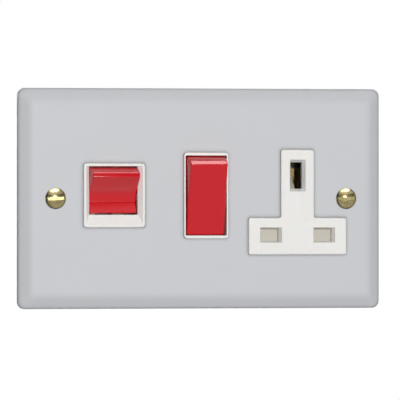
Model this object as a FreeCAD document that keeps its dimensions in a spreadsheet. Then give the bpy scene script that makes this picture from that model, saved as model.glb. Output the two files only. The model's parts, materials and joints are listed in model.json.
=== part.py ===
# Cooker control unit: a two-gang plate with a 45 A cooker switch and a 13 A switched socket.
# Millimetres. X runs to the right and Z up as seen from the front, Y runs into the wall.
# The origin is the middle of the plate on the wall, so the front of the plate faces -Y.
import FreeCAD, Part
import math
import os
import Sketcher

SIZES = {
    # Front plate
    "plate_width": 150.0,
    "plate_height": 88.0,
    "plate_rise": 4.6,
    "plate_side": 1.4,
    "plate_bevel": 5.2,
    "plate_sheet": 1.2,
    "plate_corner": 3.0,
    "plate_face_corner": 0.9,
    "plate_crown": 1.4,
    "window_clearance": 0.15,
    "fixing_centres": 120.6,
    "fixing_hole_radius": 2.1,
    # Fixing screws
    "screw_head_radius": 4.2,
    "screw_head_height": 2.1,
    "screw_neck_radius": 1.4,
    "screw_neck_length": 2.4,
    "screw_shank_radius": 1.75,
    "screw_length": 24.6,
    "screw_slot_width": 1.2,
    "screw_slot_depth": 1.0,
    # Housings of both modules
    "front_wall": 2.0,
    "side_wall": 1.6,
    "housing_depth": 11.4,
    "base_depth": 15.0,
    "base_floor": 2.0,
    "housing_top": 29.0,
    "housing_bottom": 26.0,
    "bezel_proud": 0.6,
    "edge_bevel": 0.35,
    "housing_corner": 1.2,
    "post_radius": 2.6,
    "post_inset": 1.8,
    "base_screw_radius": 1.3,
    "base_screw_head_radius": 2.4,
    "base_screw_head_height": 1.4,
    "ear_width": 9.0,
    "ear_length": 7.0,
    "stud_radius": 1.5,
    "stud_length": 7.0,
    "nut_radius": 3.1,
    "nut_height": 2.4,
    "running_gap": 0.3,
    "rocker_gap": 0.2,
    "pivot_clearance": 0.08,
    # Cooker switch
    "cooker_offset": 36.1,
    "cooker_housing_width": 34.0,
    "switch_level": 1.2,
    "cooker_bezel_width": 25.4,
    "cooker_bezel_height": 25.5,
    "cooker_bezel_corner": 1.2,
    "cooker_lip": 1.0,
    "cooker_recess": 1.9,
    "cooker_throat_width": 20.0,
    "cooker_throat_height": 19.1,
    "cooker_throat_lift": 1.85,
    "cooker_pivot_depth": 2.6,
    "cooker_nose": 3.2,
    "cooker_toe": 3.0,
    "cooker_crease_drop": 4.0,
    "cooker_crease_depth": -1.0,
    "cooker_crease_round": 4.0,
    "cooker_rocker_back": 2.2,
    "cooker_tilt": 22.0,
    "cooker_reach": 10.3,
    "cooker_arm_tilt": 7.0,
    "cooker_arm_dish": 14.0,
    "cheek_thickness": 2.0,
    "cheek_width": 7.0,
    "cheek_depth": 5.2,
    "trunnion_radius": 1.0,
    "pole_pitch": 11.0,
    # Spring plungers and see-saw contact arms
    "plunger_radius": 1.2,
    "plunger_nose": 1.6,
    "plunger_bore_gap": 0.08,
    "bore_floor": 0.9,
    "plunger_tube_radius": 2.1,
    "plunger_rod": 5.5,
    "plunger_stroke": 1.0,
    "spring_wall": 0.35,
    "tip_gap": 0.35,
    "arm_length": 9.0,
    "arm_thickness": 1.2,
    "arm_width": 4.6,
    "contact_radius": 1.9,
    "contact_height": 0.8,
    "contact_gap": 0.1,
    "saddle_height": 5.0,
    "saddle_lug": 2.4,
    "saddle_lug_thickness": 0.8,
    "strip_thickness": 1.2,
    "strip_width": 4.4,
    # Cable terminals
    "terminal_pitch": 17.0,
    "terminal_width": 9.4,
    "terminal_height": 11.0,
    "terminal_bore_radius": 3.1,
    "terminal_screw_radius": 2.0,
    "terminal_screw_head": 2.4,
    "terminal_screw_height": 1.8,
    "cable_way": 7.2,
    # Socket outlet and its switch
    "socket_left": 16.0,
    "socket_right": 54.0,
    "ear_right": 62.5,
    "ear_top": -6.9,
    "socket_switch_x": 1.8,
    "socket_bezel_width": 18.2,
    "socket_bezel_height": 34.2,
    "socket_throat_width": 17.1,
    "socket_throat_height": 32.0,
    "socket_pivot_depth": 3.4,
    "socket_nose": 7.0,
    "socket_toe": 7.0,
    "socket_crease_drop": 1.0,
    "socket_crease_depth": -5.5,
    "socket_crease_round": 60.0,
    "socket_rocker_back": 1.8,
    "socket_tilt": 9.0,
    "socket_reach": 10.8,
    "socket_arm_tilt": 5.0,
    "socket_arm_dish": 8.5,
    # T-shaped socket face
    "face_x": 39.9,
    "face_proud": 0.7,
    "face_stem_width": 13.8,
    "face_bar_width": 40.8,
    "face_top": 19.5,
    "face_bar_top": -7.8,
    "face_bottom": -22.5,
    "face_corner": 0.9,
    "pin_pitch": 22.23,
    "pin_side_pitch": 22.2,
    "earth_level": 8.1,
    "earth_slot_width": 4.8,
    "earth_slot_height": 10.6,
    "earth_slot_lift": 1.1,
    "earth_lead_side": 0.9,
    "earth_lead_end": 1.1,
    "line_slot_width": 7.5,
    "line_slot_height": 5.1,
    "line_slot_drop": 0.5,
    "line_lead_side": 0.8,
    "line_lead_end": 0.5,
    "lead_depth": 2.2,
    # Shutter behind the socket face
    "shutter_thickness": 2.0,
    "shutter_gap": 0.3,
    "shutter_flag_margin": 0.7,
    "shutter_travel": 5.9,
    "shutter_stem_width": 4.4,
    "shutter_rib_width": 2.2,
    "shutter_ramp_depth": 6.5,
    "rail_thickness": 1.6,
    # Pin contacts
    "earth_pin_width": 4.0,
    "earth_pin_height": 8.0,
    "line_pin_width": 6.35,
    "line_pin_height": 4.0,
    "leaf_thickness": 0.9,
    "leaf_gap": 0.2,
    "leaf_flare": 1.2,
    "line_contact_front": 2.2,
    "earth_contact_front": 6.4,
    # Straps between the modules
    "strap_front": 8.6,
    "strap_height": 3.0,
    "line_strap_level": -13.4,
    "neutral_strap_level": -19.4,
    "busbar_level": 13.0,
    "busbar_width": 3.0,
    "busbar_step": 1.0,
    "strap_clearance": 0.5,
}

doc = FreeCAD.newDocument("cooker_control_unit")
sheet = doc.addObject("Spreadsheet::Sheet", "sizes")
for row, (alias, number) in enumerate(SIZES.items(), start=1):
    sheet.set(f"A{row}", alias)
    sheet.set(f"B{row}", str(number))
    sheet.setAlias(f"B{row}", alias)
doc.recompute()


class Size:
    """A number of millimetres or degrees, with the sheet formula that it comes from."""

    def __init__(self, value, formula):
        self.value = float(value)
        self.formula = formula

    def __add__(self, other):
        other = as_size(other)
        return Size(self.value + other.value, f"({self.formula} + {other.formula})")

    def __sub__(self, other):
        other = as_size(other)
        return Size(self.value - other.value, f"({self.formula} - {other.formula})")

    def __mul__(self, other):
        other = as_size(other)
        return Size(self.value * other.value, f"({self.formula} * {other.formula})")

    def __truediv__(self, other):
        other = as_size(other)
        return Size(self.value / other.value, f"({self.formula} / {other.formula})")

    def __neg__(self):
        return Size(-self.value, f"(0 - {self.formula})")

    def __radd__(self, other):
        return as_size(other) + self

    def __rsub__(self, other):
        return as_size(other) - self

    def __rmul__(self, other):
        return as_size(other) * self


def as_size(number):
    """Return a plain number as a Size, and a Size as it is."""
    if isinstance(number, Size):
        return number
    return Size(number, f"({float(number)!r})")


def sine(angle):
    """Return the sine of an angle in degrees."""
    return Size(math.sin(math.radians(angle.value)), f"sin({angle.formula})")


def cosine(angle):
    """Return the cosine of an angle in degrees."""
    return Size(math.cos(math.radians(angle.value)), f"cos({angle.formula})")


def root(number):
    """Return the square root of a size."""
    return Size(math.sqrt(number.value), f"sqrt({number.formula})")


def size(alias):
    """Return the sheet's size of that name."""
    return Size(SIZES[alias], f"sizes.{alias}")


def bind(thing, path, number):
    """Tie a property of a document object to a size."""
    thing.setExpression(path, as_size(number).formula)


def place(thing, x, y, z):
    """Tie the place of a document object to three sizes."""
    bind(thing, "Placement.Base.x", x)
    bind(thing, "Placement.Base.y", y)
    bind(thing, "Placement.Base.z", z)


TURNS = {
    "X": FreeCAD.Rotation(FreeCAD.Vector(0, 1, 0), 90),
    "Y": FreeCAD.Rotation(FreeCAD.Vector(1, 0, 0), -90),
    "Z": FreeCAD.Rotation(),
}


def box(name, x_range, y_range, z_range):
    """Return a block between pairs of sizes."""
    block = doc.addObject("Part::Box", name)
    bind(block, "Length", x_range[1] - x_range[0])
    bind(block, "Width", y_range[1] - y_range[0])
    bind(block, "Height", z_range[1] - z_range[0])
    place(block, x_range[0], y_range[0], z_range[0])
    return block


def rod(name, axis, start, radius, length):
    """Return a cylinder that runs from its start point along +X, +Y or +Z."""
    cylinder = doc.addObject("Part::Cylinder", name)
    bind(cylinder, "Radius", radius)
    bind(cylinder, "Height", length)
    cylinder.Placement = FreeCAD.Placement(FreeCAD.Vector(), TURNS[axis])
    place(cylinder, *start)
    return cylinder


def ball(name, centre, radius):
    """Return a sphere."""
    sphere = doc.addObject("Part::Sphere", name)
    bind(sphere, "Radius", radius)
    place(sphere, *centre)
    return sphere


def fuse(name, pieces):
    """Return the union of several objects."""
    union = doc.addObject("Part::MultiFuse", name)
    union.Shapes = pieces
    union.Refine = True
    return union


def cut(name, base, tools):
    """Return an object with the tools taken out of it."""
    tool = tools[0] if len(tools) == 1 else fuse(f"{name}_tools", tools)
    rest = doc.addObject("Part::Cut", name)
    rest.Base = base
    rest.Tool = tool
    rest.Refine = True
    return rest


def common(name, first, second):
    """Return what two objects share."""
    shared = doc.addObject("Part::Common", name)
    shared.Base = first
    shared.Tool = second
    shared.Refine = True
    return shared


def group(name, pieces):
    """Return one object that holds several separate solids."""
    compound = doc.addObject("Part::Compound", name)
    compound.Links = pieces
    return compound


class Polygon:
    """A closed outline of straight lines through points of two sizes each."""

    def __init__(self, points):
        self.points = [(as_size(across), as_size(along)) for across, along in points]

    def draw(self, sketch):
        """Draw the outline and tie each corner to its sizes."""
        first = sketch.GeometryCount
        count = len(self.points)
        corners = [FreeCAD.Vector(across.value, along.value, 0) for across, along in self.points]
        for index in range(count):
            line = Part.LineSegment(corners[index], corners[(index + 1) % count])
            sketch.addGeometry(line, False)
        for index in range(count):
            after = first + (index + 1) % count
            sketch.addConstraint(Sketcher.Constraint("Coincident", first + index, 2, after, 1))
        for index, corner in enumerate(self.points):
            for direction, number in zip("XY", corner):
                fix(sketch, f"Distance{direction}", (-1, 1, first + index, 1), number)


class RoundedRectangle:
    """A rectangular outline with round corners, between pairs of sizes."""

    def __init__(self, x_range, z_range, radius):
        self.x_range = x_range
        self.z_range = z_range
        self.radius = radius

    def draw(self, sketch):
        """Draw four lines and four arcs that run into each other, and tie the sides and the radius."""
        left, right = (number.value for number in self.x_range)
        low, high = (number.value for number in self.z_range)
        radius = self.radius.value
        middles = [
            (right - radius, low + radius), (right - radius, high - radius),
            (left + radius, high - radius), (left + radius, low + radius),
        ]
        quarter = math.pi / 2
        arcs = []
        for index, middle in enumerate(middles):
            ring = Part.Circle(FreeCAD.Vector(*middle, 0), FreeCAD.Vector(0, 0, 1), radius)
            arcs.append(Part.ArcOfCircle(ring, (index - 1) * quarter, index * quarter))
        first = sketch.GeometryCount
        for index, arc in enumerate(arcs):
            sketch.addGeometry(Part.LineSegment(arcs[index - 1].EndPoint, arc.StartPoint), False)
            sketch.addGeometry(arc, False)
        count = len(arcs) * 2
        for index in range(count):
            after = first + (index + 1) % count
            sketch.addConstraint(Sketcher.Constraint("Tangent", first + index, 2, after, 1))
        bottom, right_side, top, left_side = range(first, first + count, 2)
        for level in (bottom, top):
            sketch.addConstraint(Sketcher.Constraint("Horizontal", level))
        for upright in (right_side, left_side):
            sketch.addConstraint(Sketcher.Constraint("Vertical", upright))
        for line in (right_side, top, left_side):
            sketch.addConstraint(Sketcher.Constraint("Equal", bottom + 1, line + 1))
        fix(sketch, "Radius", (bottom + 1,), self.radius)
        for upright, number in zip((left_side, right_side), self.x_range):
            fix(sketch, "DistanceX", (-1, 1, upright, 1), number)
        for level, number in zip((bottom, top), self.z_range):
            fix(sketch, "DistanceY", (-1, 1, level, 1), number)


class Circle:
    """A round outline with its centre and radius."""

    def __init__(self, across, along, radius):
        self.centre = (as_size(across), as_size(along))
        self.radius = as_size(radius)

    def draw(self, sketch):
        """Draw the circle and tie its centre and radius."""
        middle = FreeCAD.Vector(self.centre[0].value, self.centre[1].value, 0)
        ring = Part.Circle(middle, FreeCAD.Vector(0, 0, 1), self.radius.value)
        index = sketch.addGeometry(ring, False)
        fix(sketch, "Radius", (index,), self.radius)
        for direction, number in zip("XY", self.centre):
            fix(sketch, f"Distance{direction}", (-1, 1, index, 3), number)


def fix(sketch, kind, places, number):
    """Add a measured constraint and tie it to a size."""
    index = sketch.addConstraint(Sketcher.Constraint(kind, *places, number.value))
    name = f"measure{index}"
    sketch.renameConstraint(index, name)
    bind(sketch, f"Constraints.{name}", number)


def rectangle(x_range, z_range):
    """Return a rectangular outline between pairs of sizes."""
    left, right = x_range
    low, high = z_range
    return Polygon([(left, low), (right, low), (right, high), (left, high)])


def around(middle, width):
    """Return the two ends of a width about its middle."""
    half = as_size(width) / 2
    return (as_size(middle) - half, as_size(middle) + half)


class Body:
    """A piece made as a feature tree of sketches, pads, pockets, lofts and fillets.

    Plane "front" is seen from the front, with its offset measured out from the wall.
    Plane "side" has Y across and Z up, and plane "top" has X across and Y along.
    """

    PLANES = {"front": "XZ_Plane", "side": "YZ_Plane", "top": "XY_Plane"}

    def __init__(self, label):
        self.label = label
        self.body = doc.addObject("PartDesign::Body", label)

    def feature(self, kind, name):
        """Return a new feature at the end of the tree."""
        return self.body.newObject(kind, f"{self.label}_{name}")

    def sketch(self, plane, offset, outlines):
        """Return a sketch of the outlines on a plane of the body."""
        role = self.PLANES[plane]
        support = [flat for flat in self.body.Origin.OriginFeatures if flat.Role == role][0]
        drawing = self.feature("Sketcher::SketchObject", "sketch")
        drawing.AttachmentSupport = [(support, "")]
        drawing.MapMode = "FlatFace"
        bind(drawing, "AttachmentOffset.Base.z", offset)
        for outline in outlines:
            outline.draw(drawing)
        return drawing

    def pad(self, plane, offset, outlines, length, reverse=False, both=False):
        """Add material from a sketch along its normal, against it, or to both sides."""
        profile = self.sketch(plane, offset, outlines)
        pad = self.feature("PartDesign::Pad", "pad")
        pad.Profile = profile
        bind(pad, "Length", length)
        pad.Reversed = reverse
        if both:
            pad.SideType = "Symmetric"
        return self

    def pocket(self, plane, offset, outlines, length, reverse=False, both=False):
        """Take material away from a sketch against its normal, along it, or to both sides."""
        doc.recompute()
        before = self.body.Shape.Volume
        profile = self.sketch(plane, offset, outlines)
        pocket = self.feature("PartDesign::Pocket", "pocket")
        pocket.Profile = profile
        bind(pocket, "Length", length)
        pocket.Reversed = reverse
        if both:
            pocket.SideType = "Symmetric"
        doc.recompute()
        if self.body.Shape.Volume >= before:
            raise RuntimeError(f"a pocket of {self.label} cuts nothing")
        return self

    def loft(self, sections, kind="AdditiveLoft"):
        """Add or take away the straight-sided form through outlines at offsets from the wall."""
        drawings = [self.sketch("front", offset, [outline]) for offset, outline in sections]
        loft = self.feature(f"PartDesign::{kind}", "loft")
        loft.Profile = drawings[0]
        loft.Sections = drawings[1:]
        loft.Ruled = True
        return self

    def dress(self, kind, measure, number, chosen):
        """Finish the edges of the tip that the test chooses."""
        doc.recompute()
        tip = self.body.Tip
        edges = enumerate(tip.Shape.Edges, start=1)
        names = [f"Edge{index}" for index, edge in edges if chosen(edge)]
        finish = self.feature(f"PartDesign::{kind}", kind.lower())
        finish.Base = (tip, names)
        bind(finish, measure, number)
        return self

    def round(self, radius, chosen):
        """Round the edges of the tip that the test chooses."""
        return self.dress("Fillet", "Radius", radius, chosen)

    def bevel(self, width, chosen):
        """Bevel the edges of the tip that the test chooses."""
        return self.dress("Chamfer", "Size", width, chosen)


NEAR = 0.01


def runs_along(edge, axis):
    """Say whether an edge is straight and parallel to an axis."""
    if edge.Curve.TypeId != "Part::GeomLine":
        return False
    return abs(getattr(edge.Curve.Direction, axis)) > 1 - NEAR


def lies_at(edge, axis, number):
    """Say whether a whole edge lies at one place along an axis."""
    low = getattr(edge.BoundBox, f"{axis.upper()}Min")
    high = getattr(edge.BoundBox, f"{axis.upper()}Max")
    return abs(low - number.value) < NEAR and abs(high - number.value) < NEAR


def inside(edge, x_range, z_range):
    """Say whether the middle of an edge lies within a window seen from the front."""
    middle = edge.CenterOfMass
    wide = x_range[0].value - NEAR < middle.x < x_range[1].value + NEAR
    return wide and z_range[0].value - NEAR < middle.z < z_range[1].value + NEAR


# Levels that the pieces share, measured along Y
FACE = -size("plate_rise")
SEAT = FACE + size("plate_sheet")
WALL_BACK = SEAT + size("front_wall")
SPLIT = SEAT + size("housing_depth")
REAR = SPLIT + size("base_depth")
FLOOR = REAR - size("base_floor")
CONTACT_BACK = FLOOR - size("strip_thickness")
BLOCK_FRONT = size("strap_front") + size("strip_thickness")
BLOCK_MIDDLE = (BLOCK_FRONT + FLOOR) / 2
BEZEL_FRONT = FACE - size("bezel_proud")
SOCKET_FRONT = FACE - size("face_proud")
HOUSING_Z = (-size("housing_bottom"), size("housing_top"))

# Places that the pieces share, measured along X and Z
COOKER_X = -size("cooker_offset")
COOKER_WIDE = around(COOKER_X, size("cooker_housing_width"))
SOCKET_WIDE = (-size("socket_left"), size("socket_right"))
SWITCH_X = size("socket_switch_x")
LEVEL = size("switch_level")
COOKER_BEZEL = (
    around(COOKER_X, size("cooker_bezel_width")),
    around(LEVEL, size("cooker_bezel_height")),
)
SOCKET_BEZEL = (
    around(SWITCH_X, size("socket_bezel_width")),
    around(LEVEL, size("socket_bezel_height")),
)
FACE_BOX = (
    around(size("face_x"), size("face_bar_width")),
    (size("face_bottom"), size("face_top")),
)
POLES = {
    "line": COOKER_X - size("pole_pitch") / 2,
    "neutral": COOKER_X + size("pole_pitch") / 2,
}
BLOCKS = {
    "line": COOKER_X - size("terminal_pitch") / 2,
    "neutral": COOKER_X + size("terminal_pitch") / 2,
}
PIN_X = {
    "neutral": size("face_x") - size("pin_side_pitch") / 2,
    "line": size("face_x") + size("pin_side_pitch") / 2,
}
LINE_LEVEL = size("earth_level") - size("pin_pitch")
EAR_Z = (size("housing_top") + size("ear_length") / 2, -size("housing_bottom") - size("ear_length") / 2)
SOCKET_EAR_X = (SOCKET_WIDE[0] + SOCKET_WIDE[1]) / 2
STUDS = [(x, z) for x in (COOKER_X, SOCKET_EAR_X) for z in EAR_Z]


class Switch:
    """The places and sizes of one rocker, its plungers and its see-saw arms."""

    def __init__(self, name, middle, level, poles):
        self.label = f"{name}_rocker"
        self.middle = middle
        self.poles = poles
        self.pivot = (FACE + size(f"{name}_pivot_depth"), level)
        self.throat_width = size(f"{name}_throat_width")
        self.throat_height = size(f"{name}_throat_height")
        self.nose = size(f"{name}_nose")
        self.toe = size(f"{name}_toe")
        self.crease_drop = size(f"{name}_crease_drop")
        self.crease_depth = size(f"{name}_crease_depth")
        self.crease_round = size(f"{name}_crease_round")
        self.back = size(f"{name}_rocker_back")
        self.tilt = size(f"{name}_tilt")
        self.reach = size(f"{name}_reach")
        self.arm_tilt = size(f"{name}_arm_tilt")
        self.arm_dish = size(f"{name}_arm_dish")

    def throat(self):
        """Return the window that the rocker works in."""
        return (around(self.middle, self.throat_width), around(self.pivot[1], self.throat_height))

    def apex(self):
        """Return the place of the arms' fulcrum, behind the rocker's pivot."""
        stack = (size("plunger_radius") + size("arm_thickness")) / cosine(self.arm_dish)
        return (self.pivot[0] + self.reach + size("tip_gap") + stack, self.pivot[1])

    def contact(self):
        """Return the place of an arm's contact face at rest."""
        along = size("arm_length") - size("contact_radius")
        apex_y, apex_z = self.apex()
        lean = self.arm_dish - self.arm_tilt
        y = apex_y - along * sine(lean) + size("contact_height") * cosine(lean)
        z = apex_z + along * cosine(lean) + size("contact_height") * sine(lean)
        return (y, z)


COOKER = Switch("cooker", COOKER_X, LEVEL + size("cooker_throat_lift"), list(POLES.values()))
SOCKET = Switch("socket", SWITCH_X, LEVEL, [SWITCH_X])


def face_outline(margin):
    """Return the T outline of the socket face, grown by a margin."""
    margin = as_size(margin)
    stem = around(size("face_x"), size("face_stem_width") + margin * 2)
    bar = around(size("face_x"), size("face_bar_width") + margin * 2)
    top = size("face_top") + margin
    shoulder = size("face_bar_top") + margin
    bottom = size("face_bottom") - margin
    return Polygon([
        (bar[0], bottom), (bar[1], bottom), (bar[1], shoulder), (stem[1], shoulder),
        (stem[1], top), (stem[0], top), (stem[0], shoulder), (bar[0], shoulder),
    ])


def grown(bezel, margin):
    """Return a bezel's window, grown by a margin on every side."""
    (left, right), (low, high) = bezel
    return ((left - margin, right + margin), (low - margin, high + margin))


CROWN_STEPS = 3


def front_plate():
    """Return the pressed steel plate with its bevelled border and three windows.

    The bevel runs into the face over a crown, a parabola of a few straight steps.
    """
    width = size("plate_width")
    height = size("plate_height")
    rise = size("plate_rise")
    side = size("plate_side")
    bevel = size("plate_bevel")
    sheet_gauge = size("plate_sheet")
    plate = Body("front_plate")

    def frame_at(inset):
        return around(0, width - inset * 2), around(0, height - inset * 2)

    corner = size("plate_corner")
    crown = size("plate_crown")
    closing = (corner - size("plate_face_corner")) / (bevel + crown)
    slope = root(bevel * bevel + (rise - side) * (rise - side))
    rim = RoundedRectangle(*frame_at(as_size(0)), corner)
    sections = [(as_size(0), rim), (side, rim)]
    for step in range(CROWN_STEPS + 1):
        ahead = step / CROWN_STEPS
        share = (1 - ahead) ** 2
        inset = bevel + crown * ahead ** 2 - crown * bevel / slope * share
        level = rise - crown * (rise - side) / slope * share
        sections.append((level, RoundedRectangle(*frame_at(inset), corner - closing * inset)))
    plate.loft(sections)
    inner_side = side - sheet_gauge / 2
    plate.loft([
        (as_size(0), rectangle(*frame_at(sheet_gauge))),
        (inner_side, rectangle(*frame_at(sheet_gauge))),
        (rise - sheet_gauge, rectangle(*frame_at(bevel + sheet_gauge / 2))),
    ], "SubtractiveLoft")
    clearance = size("window_clearance")
    for window in (COOKER_BEZEL, SOCKET_BEZEL):
        opening = grown(window, clearance)
        plate.pocket("front", rise, [rectangle(*opening)], rise)
        plate.round(size("cooker_bezel_corner"), lambda edge, around_it=opening: runs_along(edge, "y")
                    and inside(edge, *around_it))
    face_window = grown(FACE_BOX, clearance)
    plate.pocket("front", rise, [face_outline(clearance)], rise)
    plate.round(size("face_corner"), lambda edge: runs_along(edge, "y") and inside(edge, *face_window))
    holes = [Circle(x, 0, size("fixing_hole_radius")) for x in around(0, size("fixing_centres"))]
    plate.pocket("front", rise, holes, rise)
    return plate.body


def fixing_screws():
    """Return the two brass screws with domed, slotted heads that hold the plate to its box."""
    screws = []
    for side, x in zip(("left", "right"), around(0, size("fixing_centres"))):
        radius = size("screw_head_radius")
        height = size("screw_head_height")
        dome_radius = (radius * radius + height * height) / (height * 2)
        dome = ball(f"screw_dome_{side}", (x, FACE - height + dome_radius, 0), dome_radius)
        wide = dome_radius * 3
        stock = box(f"screw_stock_{side}", around(x, wide), (FACE - height * 2, FACE), around(0, wide))
        head = common(f"screw_head_{side}", dome, stock)
        neck = rod(f"screw_neck_{side}", "Y", (x, FACE, 0), size("screw_neck_radius"),
                   size("screw_neck_length"))
        shank = rod(f"screw_shank_{side}", "Y", (x, FACE + size("screw_neck_length"), 0),
                    size("screw_shank_radius"), size("screw_length") - size("screw_neck_length"))
        whole = fuse(f"screw_whole_{side}", [head, neck, shank])
        slot = box(
            f"screw_slot_{side}",
            around(x, radius * 3),
            (FACE - height * 2, FACE - height + size("screw_slot_depth")),
            around(0, size("screw_slot_width")),
        )
        screws.append(cut(f"screw_{side}", whole, [slot]))
    return group("fixing_screws", screws)


def plate_studs():
    """Return the four threaded studs welded to the back of the plate."""
    return group("plate_studs", [
        rod(f"stud_{index}", "Y", (x, SEAT, z), size("stud_radius"), size("stud_length"))
        for index, (x, z) in enumerate(STUDS)
    ])


def stud_nuts():
    """Return the hexagon nuts that clamp the module ears to the plate."""
    nuts = []
    for index, (x, z) in enumerate(STUDS):
        prism = doc.addObject("Part::Prism", f"nut_blank_{index}")
        prism.Polygon = 6
        bind(prism, "Circumradius", size("nut_radius"))
        bind(prism, "Height", size("nut_height"))
        prism.Placement = FreeCAD.Placement(FreeCAD.Vector(), TURNS["Y"])
        place(prism, x, WALL_BACK, z)
        hole = rod(f"nut_hole_{index}", "Y", (x, WALL_BACK, z), size("stud_radius"), size("nut_height"))
        nuts.append(cut(f"nut_{index}", prism, [hole]))
    return group("stud_nuts", nuts)


def with_ears(housing, ear_x):
    """Add the top and bottom ears of a housing, each with a hole for its stud."""
    hole = size("stud_radius") + size("window_clearance")
    for ear_z, edge_z in zip(EAR_Z, (HOUSING_Z[1], HOUSING_Z[0])):
        tab = rectangle(around(ear_x, size("ear_width")), (edge_z, ear_z * 2 - edge_z))
        housing.pad("front", -WALL_BACK, [tab], size("front_wall"))
        housing.pocket("front", -SEAT, [Circle(ear_x, ear_z, hole)], size("front_wall"))


def cheeks(housing, switch):
    """Add the two cheeks behind a throat that carry a rocker's trunnions."""
    pivot_y, pivot_z = switch.pivot
    thick = size("cheek_thickness")
    span = around(pivot_z, size("cheek_width"))
    inner_left, inner_right = switch.throat()[0]
    left = (inner_left - thick, inner_left)
    right = (inner_right, inner_right + thick)
    housing.pad("front", -WALL_BACK, [rectangle(left, span), rectangle(right, span)],
                size("cheek_depth"), reverse=True)
    bore = size("trunnion_radius") + size("pivot_clearance")
    through = switch.throat_width + thick * 2
    housing.pocket("side", switch.middle, [Circle(pivot_y, pivot_z, bore)], through, both=True)


def posts_of(middle):
    """Return the middles of a module's two screw posts, which stand partly in its walls."""
    inset = size("side_wall") + size("post_inset")
    return [(middle, HOUSING_Z[1] - inset), (middle, HOUSING_Z[0] + inset)]


def cooker_housing():
    """Return the white front moulding of the cooker switch, with its deep sloping bezel."""
    housing = Body("cooker_housing")
    wall = size("side_wall")
    inner = ((COOKER_WIDE[0] + wall, COOKER_WIDE[1] - wall), (HOUSING_Z[0] + wall, HOUSING_Z[1] - wall))
    skirt = size("housing_depth") - size("front_wall")
    housing.pad("front", -WALL_BACK, [rectangle(COOKER_WIDE, HOUSING_Z)], size("front_wall"))
    ring = [rectangle(COOKER_WIDE, HOUSING_Z), rectangle(*inner)]
    housing.pad("front", -WALL_BACK, ring, skirt, reverse=True)
    housing.round(size("housing_corner"), lambda edge: runs_along(edge, "y")
                  and not inside(edge, inner[0], inner[1]))
    with_ears(housing, COOKER_X)
    posts = [Circle(x, z, size("post_radius")) for x, z in posts_of(COOKER_X)]
    housing.pad("front", -WALL_BACK, posts, skirt, reverse=True)
    housing.pad("front", -WALL_BACK, [rectangle(*COOKER_BEZEL)], WALL_BACK - BEZEL_FRONT)
    housing.round(size("cooker_bezel_corner"), lambda edge: runs_along(edge, "y")
                  and edge.CenterOfMass.y < SEAT.value and inside(edge, *COOKER_BEZEL))
    lip = size("cooker_lip")
    mouth = grown(COOKER_BEZEL, -lip)
    throat = COOKER.throat()
    recess_floor = BEZEL_FRONT + size("cooker_recess")
    housing.loft([(-BEZEL_FRONT, rectangle(*mouth)), (-recess_floor, rectangle(*throat))], "SubtractiveLoft")
    housing.pocket("front", -recess_floor, [rectangle(*throat)], WALL_BACK - recess_floor)
    cheeks(housing, COOKER)
    pilots = [Circle(x, z, size("base_screw_radius")) for x, z in posts_of(COOKER_X)]
    housing.pocket("front", -WALL_BACK, pilots, skirt)
    housing.bevel(size("edge_bevel"), lambda edge: lies_at(edge, "y", BEZEL_FRONT)
                  and not inside(edge, *mouth))
    return housing.body


def base_tray(label, outline, inner, posts):
    """Return a rear tray with a floor, a wall and bored screw posts."""
    tray = Body(label)
    depth = size("base_depth") - size("base_floor")
    tray.pad("front", -REAR, [outline], size("base_floor"))
    tray.pad("front", -FLOOR, [outline, inner], depth)
    tray.pad("front", -FLOOR, [Circle(x, z, size("post_radius")) for x, z in posts], depth)
    bore = size("base_screw_radius") + size("window_clearance")
    tray.pocket("front", -SPLIT, [Circle(x, z, bore) for x, z in posts], size("base_depth"))
    return tray


def strap_notch(level, height):
    """Return the outline, seen from the side, that a strap needs to pass a wall."""
    clearance = size("strap_clearance")
    back = size("strap_front") + size("strip_thickness") + clearance
    return rectangle((SPLIT, back), (level - clearance, level + height + clearance))


def strap_notches():
    """Return the outlines of both straps' ways through the walls between the modules."""
    return [
        strap_notch(size("line_strap_level"), size("strap_height")),
        strap_notch(size("neutral_strap_level"), size("strap_height")),
    ]


def cable_way(x):
    """Return the outline, seen from above, of a cable's way through a wall to its terminal."""
    return rectangle(around(x, size("cable_way")), around(BLOCK_MIDDLE, size("cable_way")))


def cooker_base():
    """Return the rear moulding of the cooker switch, with cable and screwdriver holes."""
    wall = size("side_wall")
    inner = rectangle(
        (COOKER_WIDE[0] + wall, COOKER_WIDE[1] - wall),
        (HOUSING_Z[0] + wall, HOUSING_Z[1] - wall),
    )
    tray = base_tray("cooker_base", rectangle(COOKER_WIDE, HOUSING_Z), inner, posts_of(COOKER_X))
    ways = [cable_way(x) for x in BLOCKS.values()]
    tray.pocket("top", HOUSING_Z[1], ways, wall)
    tray.pocket("top", HOUSING_Z[0], ways, wall, reverse=True)
    access = size("terminal_screw_head") + size("strap_clearance")
    screws = [Circle(x, z, access) for x in BLOCKS.values() for z in BLOCK_Z.values()]
    tray.pocket("front", -FLOOR, screws, size("base_floor"))
    tray.pocket("side", COOKER_WIDE[1], strap_notches(), wall)
    return tray.body


def socket_outline(inset):
    """Return the outline of the socket module with its lower right ear, drawn in by an inset."""
    left, right = SOCKET_WIDE
    low, high = HOUSING_Z
    return Polygon([
        (left + inset, low + inset),
        (size("ear_right") - inset, low + inset),
        (size("ear_right") - inset, size("ear_top") - inset),
        (right - inset, size("ear_top") - inset),
        (right - inset, high - inset),
        (left + inset, high - inset),
    ])


def slot_sections(x_range, z_range, lead_side, lead_end):
    """Return the mouth and throat of a pin slot's tapered lead-in."""
    (left, right), (low, high) = x_range, z_range
    mouth = rectangle((left - lead_side, right + lead_side), (low - lead_end, high + lead_end))
    return [(-SOCKET_FRONT, mouth), (-(SOCKET_FRONT + size("lead_depth")), rectangle(x_range, z_range))]


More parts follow.
